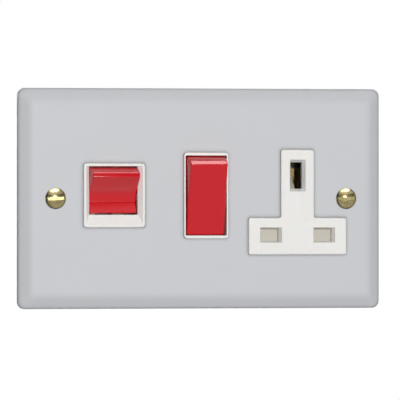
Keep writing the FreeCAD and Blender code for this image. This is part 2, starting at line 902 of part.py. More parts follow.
EARTH_SLOT = (
    around(size("face_x"), size("earth_slot_width")),
    around(size("earth_level") + size("earth_slot_lift"), size("earth_slot_height")),
)
LINE_SLOTS = {
    name: (
        around(x, size("line_slot_width")),
        around(LINE_LEVEL - size("line_slot_drop"), size("line_slot_height")),
    )
    for name, x in PIN_X.items()
}
CORNER_POST_X = size("socket_right") - size("side_wall") - size("post_inset")
SOCKET_POSTS = posts_of(SWITCH_X) + posts_of(CORNER_POST_X)[:1]


def socket_housing():
    """Return the white front moulding of the socket, with the T face and the switch bezel."""
    housing = Body("socket_housing")
    wall = size("side_wall")
    skirt = size("housing_depth") - size("front_wall")
    housing.pad("front", -WALL_BACK, [socket_outline(as_size(0))], size("front_wall"))
    ring = [socket_outline(as_size(0)), socket_outline(wall)]
    housing.pad("front", -WALL_BACK, ring, skirt, reverse=True)
    with_ears(housing, SOCKET_EAR_X)
    housing.pad("front", -WALL_BACK, [Circle(x, z, size("post_radius")) for x, z in SOCKET_POSTS],
                skirt, reverse=True)
    housing.pad("front", -WALL_BACK, [face_outline(as_size(0))], WALL_BACK - SOCKET_FRONT)
    housing.round(size("face_corner"), lambda edge: runs_along(edge, "y")
                  and edge.CenterOfMass.y < SEAT.value and inside(edge, *FACE_BOX))
    housing.pad("front", -WALL_BACK, [rectangle(*SOCKET_BEZEL)], WALL_BACK - BEZEL_FRONT)
    housing.round(size("cooker_bezel_corner"), lambda edge: runs_along(edge, "y")
                  and edge.CenterOfMass.y < SEAT.value and inside(edge, *SOCKET_BEZEL))
    housing.bevel(size("edge_bevel"), lambda edge: lies_at(edge, "y", SOCKET_FRONT))
    housing.pocket("front", -BEZEL_FRONT, [rectangle(*SOCKET.throat())], WALL_BACK - BEZEL_FRONT)
    cheeks(housing, SOCKET)
    sections = slot_sections(*EARTH_SLOT, size("earth_lead_side"), size("earth_lead_end"))
    housing.loft(sections, "SubtractiveLoft")
    housing.pocket("front", -SOCKET_FRONT, [rectangle(*EARTH_SLOT)], WALL_BACK - SOCKET_FRONT)
    for slot in LINE_SLOTS.values():
        sections = slot_sections(*slot, size("line_lead_side"), size("line_lead_end"))
        housing.loft(sections, "SubtractiveLoft")
        housing.pocket("front", -SOCKET_FRONT, [rectangle(*slot)], WALL_BACK - SOCKET_FRONT)
    pilots = [Circle(x, z, size("base_screw_radius")) for x, z in SOCKET_POSTS]
    housing.pocket("front", -WALL_BACK, pilots, skirt)
    rails = [
        rectangle(
            around(size("face_x") + side * RAIL_X, size("rail_thickness")),
            (SHUTTER_FLAG_TOP + size("running_gap"), EARTH_SLOT[1][0]),
        )
        for side in (-1, 1)
    ]
    rail_depth = size("shutter_gap") + size("shutter_thickness")
    housing.pad("front", -WALL_BACK, rails, rail_depth, reverse=True)
    return housing.body


def socket_base():
    """Return the rear moulding of the socket, with its cable and screwdriver holes."""
    wall = size("side_wall")
    tray = base_tray("socket_base", socket_outline(as_size(0)), socket_outline(wall), SOCKET_POSTS)
    tray.pocket("side", SOCKET_WIDE[0] + wall, strap_notches(), wall)
    earth_x, earth_z = EARTH_BLOCK
    tray.pocket("top", HOUSING_Z[1], [cable_way(earth_x)], wall)
    access = size("terminal_screw_head") + size("strap_clearance")
    tray.pocket("front", -FLOOR, [Circle(earth_x, earth_z, access)], size("base_floor"))
    return tray.body


def base_screws():
    """Return the screws that hold both rear mouldings to their housings."""
    screws = []
    places = posts_of(COOKER_X) + SOCKET_POSTS
    for index, (x, z) in enumerate(places):
        shank = rod(f"base_screw_shank_{index}", "Y", (x, WALL_BACK, z), size("base_screw_radius"),
                    REAR - WALL_BACK)
        head = rod(f"base_screw_head_{index}", "Y", (x, REAR, z), size("base_screw_head_radius"),
                   size("base_screw_head_height"))
        screws.append(fuse(f"base_screw_{index}", [head, shank]))
    return group("base_screws", screws)


def past(start, through):
    """Return the point a fifth further on than a point, on the line from a start."""
    further = 1.2
    return tuple(a + (b - a) * further for a, b in zip(start, through))


def tilted(thing, x, pivot, angle):
    """Set an object built about a pivot at its place, turned about X."""
    thing.Placement = FreeCAD.Placement(FreeCAD.Vector(), FreeCAD.Rotation(FreeCAD.Vector(1, 0, 0), 1))
    place(thing, x, *pivot)
    bind(thing, "Placement.Rotation.Angle", angle)
    return thing


def rocker(switch):
    """Return a rocker about its pivot, tilted to its rest with the top standing out.

    The ends are a cylinder about the pivot, so that the gap at each end stays the same as it turns.
    Its front is two wings, from the nose at the top and the toe at the bottom, that meet in a
    rounded crease.
    """
    label = switch.label
    width = switch.throat_width - size("rocker_gap") * 2
    end_radius = switch.throat_height / 2 - size("rocker_gap")
    nose_z = root(end_radius * end_radius - switch.nose * switch.nose)
    toe_z = root(end_radius * end_radius - switch.toe * switch.toe)
    front = end_radius * 2
    drum = rod(f"{label}_drum", "X", (-width / 2, 0, 0), end_radius, width)
    slab = box(f"{label}_slab", around(0, width), (-switch.nose, switch.back), around(0, front))
    blank = common(f"{label}_blank", drum, slab)
    crease = (switch.crease_depth, -switch.crease_drop)
    top = past(crease, (-switch.nose, nose_z))
    bottom = past(crease, (-switch.toe, -toe_z))
    hollow = Body(f"{label}_hollow")
    hollow.pad("side", as_size(0), [Polygon([crease, top, (-front, top[1]), (-front, bottom[1]), bottom])],
               width * 2, both=True)
    hollow.round(switch.crease_round, lambda edge: lies_at(edge, "y", crease[0])
                 and lies_at(edge, "z", crease[1]))
    shell = cut(f"{label}_shell", blank, [hollow.body])
    stub = size("cheek_thickness")
    stubs = [
        rod(f"{label}_stub_{index}", "X", (x, 0, 0), size("trunnion_radius"), stub)
        for index, x in enumerate((-width / 2 - stub, width / 2))
    ]
    tube_length = switch.reach - size("plunger_radius") - size("plunger_stroke") - size("tip_gap")
    bore_radius = size("plunger_radius") + size("plunger_bore_gap")
    tubes = []
    bores = []
    for index, pole_x in enumerate(switch.poles):
        foot = pole_x - switch.middle
        tubes.append(rod(f"{label}_tube_{index}", "Y", (foot, switch.back, 0), size("plunger_tube_radius"),
                         tube_length - switch.back))
        bores.append(rod(f"{label}_bore_{index}", "Y", (foot, size("bore_floor"), 0), bore_radius,
                         switch.reach))
    solid = fuse(f"{label}_solid", [shell] + stubs + tubes)
    return tilted(cut(label, solid, bores), switch.middle, switch.pivot, switch.tilt)


def plunger(label, x, switch):
    """Return a plunger in its bore in a rocker, with a half-round nose across its arm."""
    radius = size("plunger_radius")
    nose_radius = size("plunger_nose")
    start = switch.reach - size("plunger_rod")
    nose_y = switch.reach + radius - nose_radius
    wide = radius * 3
    stem = rod(f"{label}_stem", "Y", (0, start, 0), radius, size("plunger_rod") + radius)
    stock = box(f"{label}_stock", around(0, wide), (start - radius, nose_y), around(0, wide))
    nose = rod(f"{label}_nose", "X", (-wide / 2, nose_y, 0), nose_radius, wide)
    outline = fuse(f"{label}_outline", [stock, nose])
    return tilted(common(label, stem, outline), x, switch.pivot, switch.tilt)


def plunger_spring(label, x, switch):
    """Return the plain sleeve that stands for a plunger's close-wound spring."""
    foot = (0, size("bore_floor"), 0)
    length = switch.reach - size("plunger_rod") - size("bore_floor")
    outer = rod(f"{label}_outer", "Y", foot, size("plunger_radius"), length)
    inner = rod(f"{label}_inner", "Y", foot, size("plunger_radius") - size("spring_wall"), length)
    return tilted(cut(label, outer, [inner]), x, switch.pivot, switch.tilt)


def contact_arm(label, x, switch):
    """Return a dished see-saw arm about its fulcrum, its upper end pressed back by the plunger."""
    length = size("arm_length")
    thick = size("arm_thickness")
    dish = switch.arm_dish
    out_y = -(length * sine(dish))
    out_z = length * cosine(dish)
    in_y = out_y - thick * cosine(dish)
    in_z = out_z - thick * sine(dish)
    strip = Body(f"{label}_strip")
    strip.pad("side", as_size(0), [Polygon([
        (0, 0), (out_y, out_z), (in_y, in_z), (-(thick / cosine(dish)), 0), (in_y, -in_z), (out_y, -out_z),
    ])], size("arm_width"), both=True)
    reach_along = length - size("contact_radius")
    button = rod(f"{label}_button", "Y", (0, 0, 0), size("contact_radius"), size("contact_height"))
    button.Placement = FreeCAD.Placement(FreeCAD.Vector(), FreeCAD.Rotation(FreeCAD.Vector(1, 0, 0), -90))
    place(button, 0, -(reach_along * sine(dish)), reach_along * cosine(dish))
    bind(button, "Placement.Rotation.Angle", as_size(90) - dish)
    arm = fuse(label, [strip.body, button])
    return tilted(arm, x, switch.apex(), -switch.arm_tilt)


def fulcrum_strip(label, x, switch, low):
    """Return the brass strip that carries an arm's fulcrum between two upright lugs."""
    apex_y, apex_z = switch.apex()
    seat = apex_y + size("running_gap") / 2
    depth = (seat, seat + size("strip_thickness"))
    saddle = around(apex_z, size("saddle_height"))
    lug = size("saddle_lug_thickness")
    cradle = size("arm_width") + size("running_gap") * 2
    strip = box(f"{label}_strip", around(x, size("strip_width")), depth, (low, apex_z))
    pad = box(f"{label}_pad", around(x, cradle + lug * 2), depth, saddle)
    lug_depth = (seat - size("saddle_lug"), seat)
    lugs = [
        box(f"{label}_lug_{index}", around(x + side * (cradle + lug) / 2, lug), lug_depth, saddle)
        for index, side in enumerate((-1, 1))
    ]
    return fuse(label, [strip, pad] + lugs)


BLOCK_Z = {
    "load": HOUSING_Z[1] - size("side_wall") - size("terminal_height") / 2,
    "supply": HOUSING_Z[0] + size("side_wall") + size("terminal_height") / 2,
}
EARTH_BLOCK = (size("face_x") - size("terminal_width"), BLOCK_Z["load"])
RAIL_X = size("shutter_stem_width") / 2 + size("running_gap") + size("rail_thickness") / 2


def terminal_block(label, x, z):
    """Return a brass cable clamp with a bore for the cable and a tapped hole for its screw."""
    tall = around(z, size("terminal_height"))
    block = box(f"{label}_block", around(x, size("terminal_width")), (BLOCK_FRONT, FLOOR), tall)
    bore = rod(f"{label}_bore", "Z", (x, BLOCK_MIDDLE, tall[0]), size("terminal_bore_radius"),
               size("terminal_height"))
    tapped = rod(f"{label}_tapped", "Y", (x, BLOCK_MIDDLE, z), size("terminal_screw_radius"),
                 FLOOR - BLOCK_MIDDLE)
    return cut(f"{label}_clamp", block, [bore, tapped])


def load_terminal(pole):
    """Return a load terminal of the cooker switch with its fixed contact."""
    label = f"load_{pole}_terminal"
    x = POLES[pole]
    face_y, face_z = COOKER.contact()
    front = face_y + size("contact_gap")
    strip_front = front + size("contact_height")
    button = rod(f"{label}_button", "Y", (x, front, face_z), size("contact_radius"), size("contact_height"))
    strip = box(
        f"{label}_strip",
        around(x, size("strip_width")),
        (strip_front, strip_front + size("strip_thickness")),
        (face_z - size("contact_radius"), BLOCK_Z["load"] - size("terminal_height") / 2),
    )
    return fuse(label, [terminal_block(label, BLOCKS[pole], BLOCK_Z["load"]), strip, button])


def supply_terminal(pole):
    """Return a supply terminal of the cooker switch with its fulcrum."""
    label = f"supply_{pole}_terminal"
    top = BLOCK_Z["supply"] + size("terminal_height") / 2
    strip = fulcrum_strip(f"{label}_fulcrum", POLES[pole], COOKER, top)
    return fuse(label, [terminal_block(label, BLOCKS[pole], BLOCK_Z["supply"]), strip])


def terminal_screw(label, x, z):
    """Return a clamp screw that ends at its terminal's bore."""
    start = BLOCK_MIDDLE + size("terminal_bore_radius")
    shank = rod(f"{label}_shank", "Y", (x, start, z), size("terminal_screw_radius"), FLOOR - start)
    head = rod(f"{label}_head", "Y", (x, FLOOR, z), size("terminal_screw_head"),
               size("terminal_screw_height"))
    return fuse(label, [shank, head])


def terminal_screws():
    """Return the clamp screws of all the cable terminals."""
    places = [(x, z) for x in BLOCKS.values() for z in BLOCK_Z.values()]
    places.append(EARTH_BLOCK)
    return group("terminal_screws", [
        terminal_screw(f"terminal_screw_{index}", x, z) for index, (x, z) in enumerate(places)
    ])


SHUTTER_FRONT = WALL_BACK + size("shutter_gap")
SHUTTER_BACK = SHUTTER_FRONT + size("shutter_thickness")
SHUTTER_FLAG_TOP = LINE_SLOTS["line"][1][1] + size("shutter_flag_margin")
SHUTTER_FLAG_LOW = LINE_SLOTS["line"][1][0] - size("shutter_flag_margin")


def shutter():
    """Return the sprung shutter: two flags behind the lower slots and a ramp behind the upper one."""
    piece = Body("shutter")
    margin = size("shutter_flag_margin")
    left = LINE_SLOTS["neutral"][0][0] - margin
    right = LINE_SLOTS["line"][0][1] + margin
    stem = around(size("face_x"), size("shutter_stem_width"))
    ramp_low = EARTH_SLOT[1][0]
    piece.pad("front", -SHUTTER_BACK, [Polygon([
        (left, SHUTTER_FLAG_LOW), (right, SHUTTER_FLAG_LOW), (right, SHUTTER_FLAG_TOP),
        (stem[1], SHUTTER_FLAG_TOP), (stem[1], ramp_low), (stem[0], ramp_low),
        (stem[0], SHUTTER_FLAG_TOP), (left, SHUTTER_FLAG_TOP),
    ])], size("shutter_thickness"))
    rib_middle = stem[0] + size("shutter_rib_width") / 2
    ramp_top = ramp_low + size("shutter_travel")
    ramp_back = SHUTTER_FRONT + size("shutter_ramp_depth")
    piece.pad("side", rib_middle, [Polygon([
        (SHUTTER_FRONT, ramp_low - margin), (ramp_back, ramp_low + margin * 2), (ramp_back, ramp_top),
        (SHUTTER_FRONT, ramp_low),
    ])], size("shutter_rib_width"), both=True)
    return piece.body


def shutter_spring():
    """Return the plain sleeve that stands for the shutter's return spring."""
    low = HOUSING_Z[0] + size("side_wall")
    middle_y = (SHUTTER_FRONT + SHUTTER_BACK) / 2
    radius = size("shutter_thickness") / 2
    length = SHUTTER_FLAG_LOW - low
    foot = (size("face_x"), middle_y, low)
    outer = rod("shutter_spring_outer", "Z", foot, radius, length)
    inner = rod("shutter_spring_inner", "Z", foot, radius - size("spring_wall"), length)
    return cut("shutter_spring", outer, [inner])


def pin_contact(label, x, z, pin_width, pin_height, front):
    """Return a folded brass clip whose two sprung leaves grip a pin from left and right."""
    half = pin_width / 2 + size("leaf_gap")
    thick = size("leaf_thickness")
    flare = size("leaf_flare")
    back = CONTACT_BACK
    clip = Body(label)
    clip.pad("top", z - pin_height / 2, [Polygon([
        (x - half - thick, back), (x - half - thick, front + flare), (x - half - thick - flare, front),
        (x - half - flare, front), (x - half, front + flare), (x - half, back - thick),
        (x + half, back - thick), (x + half, front + flare), (x + half + flare, front),
        (x + half + thick + flare, front), (x + half + thick, front + flare), (x + half + thick, back),
    ])], pin_height)
    return clip


def neutral_contact():
    """Return the neutral pin's clip."""
    return pin_contact("neutral_contact", PIN_X["neutral"], LINE_LEVEL, size("line_pin_width"),
                       size("line_pin_height"), size("line_contact_front")).body


def line_contact():
    """Return the line pin's clip."""
    return pin_contact("line_contact", PIN_X["line"], LINE_LEVEL, size("line_pin_width"),
                       size("line_pin_height"), size("line_contact_front")).body


def earth_contact():
    """Return the earth pin's clip with the tail that runs up to its cable terminal."""
    clip = pin_contact("earth_clip", size("face_x"), size("earth_level"), size("earth_pin_width"),
                       size("earth_pin_height"), size("earth_contact_front"))
    back = CONTACT_BACK
    earth_x, earth_z = EARTH_BLOCK
    low = size("earth_level") - size("earth_pin_height") / 2
    block_low = earth_z - size("terminal_height") / 2
    half = size("earth_pin_width") / 2 + size("leaf_gap") + size("leaf_thickness")
    tail = box("earth_tail", (earth_x - half, size("face_x") + half),
               (back - size("leaf_thickness"), back), (low, block_low))
    return fuse("earth_contact", [clip.body, tail, terminal_block("earth_terminal", earth_x, earth_z)])


def line_strap():
    """Return the copper strap from the cooker supply to the socket switch, with its joggle."""
    thick = size("strip_thickness")
    front = size("strap_front")
    back = SOCKET.apex()[0] + size("running_gap") / 2
    start = BLOCKS["line"] - size("strip_width") / 2
    fold = SOCKET_BEZEL[0][0]
    end = SWITCH_X + size("strip_width") / 2
    strap = Body("line_strap_run")
    strap.pad("top", size("line_strap_level"), [Polygon([
        (start, front), (fold + thick, front), (fold + thick, back), (end, back), (end, back + thick),
        (fold, back + thick), (fold, front + thick), (start, front + thick),
    ])], size("strap_height"))
    tab_low = BLOCK_Z["supply"]
    tab = box("line_strap_tab", (start, start + size("strip_width")), (front, front + thick),
              (tab_low, size("line_strap_level")))
    return fuse("line_strap", [strap.body, tab])


def socket_fulcrum():
    """Return the fulcrum strip of the socket switch, standing on the line strap."""
    return fulcrum_strip("socket_fulcrum", SWITCH_X, SOCKET,
                         size("line_strap_level") + size("strap_height"))


def neutral_strap():
    """Return the copper strap from the cooker supply to the neutral clip."""
    thick = size("strip_thickness")
    front = size("strap_front")
    level = size("neutral_strap_level")
    start = BLOCKS["neutral"] - size("strip_width") / 2
    half = size("line_pin_width") / 2 + size("leaf_gap") + size("leaf_thickness")
    end = PIN_X["neutral"] + half
    back = CONTACT_BACK
    tall = (level, level + size("strap_height"))
    run = box("neutral_strap_run", (start, end), (front, front + thick), tall)
    drop = box("neutral_strap_drop", (end - thick, end), (front, back + thick), tall)
    rise = box("neutral_strap_rise", (end - half * 2, end), (back, back + thick),
               (level, LINE_LEVEL + size("line_pin_height") / 2))
    return fuse("neutral_strap", [run, drop, rise])


def line_busbar():
    """Return the brass bar from the socket switch's fixed contact over to the line clip."""
    thick = size("strip_thickness")
    face_y, face_z = SOCKET.contact()
    front = face_y + size("contact_gap")
    bar_front = front + size("contact_height")
    level = size("busbar_level")
    wide = size("busbar_width")
    half = size("line_pin_width") / 2 + size("leaf_gap") + size("leaf_thickness")
    line_x = PIN_X["line"]
    start = SWITCH_X - size("strip_width") / 2
    right = socket_inner_right()
    pin = around(LINE_LEVEL, size("line_pin_height"))
    step = (pin[1] + size("busbar_step"), pin[1] + size("busbar_step") + thick)
    low = face_z - size("contact_radius")
    end = start + size("strip_width")
    bar = Body("line_busbar_bar")
    bar.pad("front", -(bar_front + thick), [Polygon([
        (start, low), (end, low), (end, level), (right - wide, level), (right - wide, step[0]),
        (right, step[0]), (right, level + wide), (start, level + wide),
    ])], thick)
    button = rod("line_busbar_button", "Y", (SWITCH_X, front, face_z), size("contact_radius"),
                 size("contact_height"))
    back = CONTACT_BACK
    fold = box("line_busbar_fold", (right - wide, right), (bar_front, back + thick), step)
    foot = box("line_busbar_foot", (line_x - half, right), (back, back + thick), (pin[0], step[1]))
    return fuse("line_busbar", [bar.body, button, fold, foot])


def socket_inner_right():
    """Return the inner face of the socket module's right-hand wall, with room for the busbar."""
    return size("socket_right") - size("side_wall") - size("running_gap")


parts = [
    front_plate(),
    fixing_screws(),
    plate_studs(),
    stud_nuts(),
    cooker_housing(),
    cooker_base(),
    socket_housing(),
    socket_base(),
    base_screws(),
    rocker(COOKER),
    rocker(SOCKET),
    plunger("socket_plunger", SWITCH_X, SOCKET),
    plunger_spring("socket_plunger_spring", SWITCH_X, SOCKET),
    contact_arm("socket_arm", SWITCH_X, SOCKET),
    shutter(),
    shutter_spring(),
    neutral_contact(),
    line_contact(),
    earth_contact(),
    line_strap(),
    socket_fulcrum(),
    neutral_strap(),
    line_busbar(),
    terminal_screws(),
]
for pole_name, pole_x in POLES.items():
    parts += [
        plunger(f"cooker_{pole_name}_plunger", pole_x, COOKER),
        plunger_spring(f"cooker_{pole_name}_spring", pole_x, COOKER),
        contact_arm(f"cooker_{pole_name}_arm", pole_x, COOKER),
        load_terminal(pole_name),
        supply_terminal(pole_name),
    ]

doc.recompute()
for thing in doc.Objects:
    if "Invalid" in thing.State or "Error" in thing.State:
        raise RuntimeError(f"{thing.Name} failed: {thing.State}")
for part in parts:
    if part.Shape.isNull() or not part.Shape.isValid():
        raise RuntimeError(f"{part.Label} has no valid shape")

os.makedirs("parts", exist_ok=True)
for part in parts:
    part.Shape.exportStep(f"parts/{part.Label}.step")
    print(f"{part.Label}: {len(part.Shape.Solids)} solid(s), {part.Shape.Volume:.1f} mm3")
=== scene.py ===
"""Looks of the cooker control unit: finishes, soft-edged rockers, slotted screws, springs, studs and nuts."""

import json
import logging
import math
from dataclasses import dataclass, field
from enum import Enum

import bmesh
import bpy
import numpy as np
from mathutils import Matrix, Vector


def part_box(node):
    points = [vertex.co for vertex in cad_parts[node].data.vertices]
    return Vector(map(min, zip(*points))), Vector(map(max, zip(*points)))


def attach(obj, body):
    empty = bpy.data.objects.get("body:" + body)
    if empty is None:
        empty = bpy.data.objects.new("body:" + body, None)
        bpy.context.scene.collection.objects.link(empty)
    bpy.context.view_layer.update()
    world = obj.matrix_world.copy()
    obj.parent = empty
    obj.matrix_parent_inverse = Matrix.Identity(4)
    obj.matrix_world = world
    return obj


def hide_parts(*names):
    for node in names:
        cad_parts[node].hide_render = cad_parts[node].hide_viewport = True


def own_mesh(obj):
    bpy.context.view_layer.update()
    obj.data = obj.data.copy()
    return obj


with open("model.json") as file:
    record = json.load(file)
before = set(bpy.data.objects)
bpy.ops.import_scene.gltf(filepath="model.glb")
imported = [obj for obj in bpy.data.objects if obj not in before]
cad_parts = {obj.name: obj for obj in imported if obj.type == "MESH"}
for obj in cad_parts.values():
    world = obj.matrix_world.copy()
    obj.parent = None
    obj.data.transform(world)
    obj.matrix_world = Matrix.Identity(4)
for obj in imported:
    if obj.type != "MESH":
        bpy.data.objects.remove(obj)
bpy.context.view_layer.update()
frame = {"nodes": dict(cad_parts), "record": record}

LOG = logging.getLogger("cooker_control_unit")
MM = 0.001
WELD = 1e-7
FULL_TURN = 2 * math.pi
# Name of the point attribute that paints shade onto the screw heads, at their rims and in their slots.
SHADE_ATTRIBUTE = "painted_shade"
NOISE_MIDDLE = (0.3, 0.7)
EDGE_SAMPLES = 8
WHITE = (1.0, 1.0, 1.0)
SEEN_RAYS = ("Is Camera Ray", "Is Glossy Ray", "Is Transmission Ray")

Colour = tuple[float, float, float]
Point = tuple[float, float, float]
Range = tuple[float, float]
Places = tuple[tuple[float, float], ...]
Socket = bpy.types.NodeSocket
Inputs = dict[str | int, object]


class Axis(Enum):
    """Axes that a surface is turned about."""

    X = 0
    Y = 1


class Body(Enum):
    """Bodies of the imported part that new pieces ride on."""

    FRAME = "frame"
    COOKER_ROCKER = "cooker_rocker"
    SOCKET_ROCKER = "socket_rocker"


class Slot(Enum):
    """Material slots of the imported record."""

    PLATE_PAINT = "plate_paint"
    WHITE_MOULDING = "white_moulding"
    BASE_MOULDING = "base_moulding"
    RED_MOULDING = "red_moulding"
    SHUTTER_MOULDING = "shutter_moulding"
    PLUNGER_NYLON = "plunger_nylon"
    SCREW_BRASS = "screw_brass"
    TERMINAL_BRASS = "terminal_brass"
    CONTACT_COPPER = "contact_copper"
    ZINC_STEEL = "zinc_steel"
    SPRING_STEEL = "spring_steel"


def shaded(colour: Colour, factor: float) -> Colour:
    """Return a colour made darker or lighter by a factor."""
    return tuple(min(1.0, part * factor) for part in colour)


class Nodes:
    """A node tree, with a short way to add a node together with its values and links."""

    def __init__(self, tree: bpy.types.NodeTree) -> None:
        """Keep the tree."""
        self.tree = tree

    def feed(self, node: bpy.types.Node, inputs: Inputs) -> None:
        """Link or set inputs of a node.

        Args:
            node: The node.
            inputs: For each input, by name or number, the socket to link or the value to set.
        """
        for key, value in inputs.items():
            if isinstance(value, Socket):
                self.tree.links.new(value, node.inputs[key])
            else:
                node.inputs[key].default_value = value

    def add(self, kind: str, inputs: Inputs, **settings: object) -> bpy.types.Node:
        """Add a node.

        Args:
            kind: Blender's name of the node after ShaderNode.
            inputs: What its inputs get.
            settings: The node's own settings.

        Returns:
            The node.
        """
        node = self.tree.nodes.new(f"ShaderNode{kind}")
        for name, value in settings.items():
            setattr(node, name, value)
        self.feed(node, inputs)
        return node

    def remapped(self, source: Socket, span: Range, onto: Range = (0.0, 1.0)) -> Socket:
        """Map one span of values onto another, and hold the ends beyond it.

        Args:
            source: The value.
            span: Where the value starts and ends.
            onto: What it becomes there.

        Returns:
            The mapped value.
        """
        ends = {"From Min": span[0], "From Max": span[1], "To Min": onto[0], "To Max": onto[1]}
        return self.add("MapRange", {"Value": source, **ends}).outputs["Result"]

    def mixed(self, share: Socket, first: Socket | Colour, second: Colour) -> Socket:
        """Mix two colours.

        Args:
            share: 0 for the first colour to 1 for the second.
            first: Linear colour, or a socket that gives it.
            second: Linear colour.

        Returns:
            The mixed colour.
        """
        start = first if isinstance(first, Socket) else (*first, 1.0)
        inputs = {"Factor": share, "A": start, "B": (*second, 1.0)}
        return self.add("Mix", inputs, data_type="RGBA").outputs["Result"]

    def largest(self, sockets: list[Socket]) -> Socket:
        """Take the largest of several values.

        Args:
            sockets: The values.

        Returns:
            The largest one.
        """
        result = sockets[0]
        for socket in sockets[1:]:
            result = self.add("Math", {0: result, 1: socket}, operation="MAXIMUM").outputs["Value"]
        return result


class FinishNodes(Nodes):
    """A new material, with the patterns that the finishes share."""

    def __init__(self, name: str) -> None:
        """Make the material and find its shader.

        Args:
            name: The material's name.
        """
        self.material = bpy.data.materials.new(name)
        self.material.use_nodes = True
        super().__init__(self.material.node_tree)
        self.shader = self.tree.nodes["Principled BSDF"]

    def dress(self, inputs: Inputs) -> None:
        """Link or set inputs of the shader."""
        self.feed(self.shader, inputs)

    def noise(self, grain_mm: float, detail: float, stretch: Point = (1.0, 1.0, 1.0)) -> Socket:
        """Add a noise on Object coordinates.

        Args:
            grain_mm: Size of the noise's features in millimetres.
            detail: Number of finer octaves.
            stretch: How much finer the noise is along each axis.

        Returns:
            The noise's value.
        """
        places = self.add("TexCoord", {}).outputs["Object"]
        stretched = self.add("Mapping", {"Vector": places, "Scale": stretch}).outputs["Vector"]
        inputs = {"Vector": stretched, "Scale": 1.0 / (grain_mm * MM), "Detail": detail}
        return self.add("TexNoise", inputs).outputs["Fac"]

    def spread(self, noise: Socket, low: float, high: float) -> Socket:
        """Map the middle of a noise's range onto low to high."""
        return self.remapped(noise, NOISE_MIDDLE, (low, high))

    def tones(self, share: Socket, colour: Colour, change: float) -> Socket:
        """Vary a colour by a small change, darker at a share of 0 and lighter at 1."""
        return self.mixed(share, shaded(colour, 1 - change), shaded(colour, 1 + change))

    def with_painted_shade(self, clean: Socket, dark: Colour) -> Socket:
        """Darken a colour with painted shade where the piece's own attribute asks for it."""
        painted_share = self.add("Attribute", {}, attribute_name=SHADE_ATTRIBUTE).outputs["Fac"]
        return self.mixed(painted_share, clean, dark)

    def bump(self, height: Socket, depth_mm: float, strength: float, edge_mm: float = 0.0) -> None:
        """Raise the surface by a height.

        Args:
            height: Value from 0 to 1.
            depth_mm: Height of a value of 1 in millimetres.
            strength: Share of the bump that shows.
            edge_mm: Radius at which light sees the edges rounded, or 0 to leave them as they are.
        """
        inputs = {"Height": height, "Distance": depth_mm * MM, "Strength": strength}
        if edge_mm:
            soft = self.add("Bevel", {"Radius": edge_mm * MM}, samples=EDGE_SAMPLES)
            inputs["Normal"] = soft.outputs["Normal"]
        self.dress({"Normal": self.add("Bump", inputs).outputs["Normal"]})


@dataclass(frozen=True)
class PowderCoat:
    """Satin powder coat on steel: a faint cloud in the colour and an orange-peel bump."""

    name: str
    colour: Colour
    specular: float = 0.12
    roughness: float = 0.48
    unevenness: float = 0.04
    cloud: float = 0.012
    cloud_mm: float = 14.0
    cloud_detail: float = 3.0
    peel_mm: float = 0.55
    peel_detail: float = 2.0
    peel_depth_mm: float = 0.02
    peel_strength: float = 0.25
    edge_mm: float = 2.9

    def material(self) -> bpy.types.Material:
        """Make the finish.

        Returns:
            Its material.
        """
        coat = FinishNodes(self.name)
        cloud = coat.noise(self.cloud_mm, self.cloud_detail)
        peel = coat.noise(self.peel_mm, self.peel_detail)
        rough, change = self.roughness, self.unevenness
        coat.dress({
            "Specular IOR Level": self.specular,
            "Base Color": coat.tones(cloud, self.colour, self.cloud),
            "Roughness": coat.spread(peel, rough - change, rough + change),
        })
        coat.bump(peel, self.peel_depth_mm, self.peel_strength, self.edge_mm)
        return coat.material


@dataclass(frozen=True)
class Moulding:
    """Moulded plastic: faint flow marks in the colour, soft gloss and a very fine skin."""

    name: str
    colour: Colour
    specular: float = 0.5
    roughness: float = 0.28
    unevenness: float = 0.03
    flow: float = 0.015
    flow_mm: float = 9.0
    flow_detail: float = 4.0
    flow_stretch: Point = (1.0, 1.0, 0.35)
    skin_mm: float = 0.35
    skin_detail: float = 2.0
    skin_depth_mm: float = 0.006
    skin_strength: float = 0.2
    bleed: float = 0.15
    bleed_mm: float = 0.0

    def material(self) -> bpy.types.Material:
        """Make the finish.

        Returns:
            Its material.
        """
        plastic = FinishNodes(self.name)
        marks = plastic.noise(self.flow_mm, self.flow_detail, self.flow_stretch)
        skin = plastic.noise(self.skin_mm, self.skin_detail)
        rough, change = self.roughness, self.unevenness
        plastic.dress({
            "Specular IOR Level": self.specular,
            "Base Color": plastic.tones(marks, self.colour, self.flow),
            "Roughness": plastic.spread(marks, rough - change, rough + change),
        })
        if self.bleed_mm:
            plastic.dress({"Subsurface Weight": self.bleed, "Subsurface Scale": self.bleed_mm * MM})
        plastic.bump(skin, self.skin_depth_mm, self.skin_strength)
        return plastic.material


@dataclass(frozen=True)
class WorkedMetal:
    """Bare or plated metal: tarnish clouds, fine drawn or turned lines, and painted shade where the piece's
    own attribute asks for it.
    """

    name: str
    colour: Colour
    tarnish: Colour
    roughness: float = 0.25
    smoother: float = 0.06
    rougher: float = 0.08
    cloud_mm: float = 3.0
    cloud_detail: float = 5.0
    line_mm: float = 1.2
    line_detail: float = 3.0
    line_stretch: Point = (1.0, 14.0, 14.0)
    line_depth_mm: float = 0.008
    line_strength: float = 0.3
    # Share of the tarnish's brightness that the painted shade keeps.
    shade_factor: float = 0.12

    def material(self) -> bpy.types.Material:
        """Make the finish.

        Returns:
            Its material.
        """
        metal = FinishNodes(self.name)
        cloud = metal.spread(metal.noise(self.cloud_mm, self.cloud_detail), 0.0, 1.0)
        clean = metal.mixed(cloud, self.colour, self.tarnish)
        lines = metal.noise(self.line_mm, self.line_detail, self.line_stretch)
        metal.dress({
            "Metallic": 1.0,
            # Painted shade: the colour darkens where the piece's attribute says, at the screw heads' rims and
            # in their slots.
            "Base Color": metal.with_painted_shade(clean, shaded(self.tarnish, self.shade_factor)),
            "Roughness": metal.spread(lines, self.roughness - self.smoother, self.roughness + self.rougher),
        })
        metal.bump(lines, self.line_depth_mm, self.line_strength)
        return metal.material


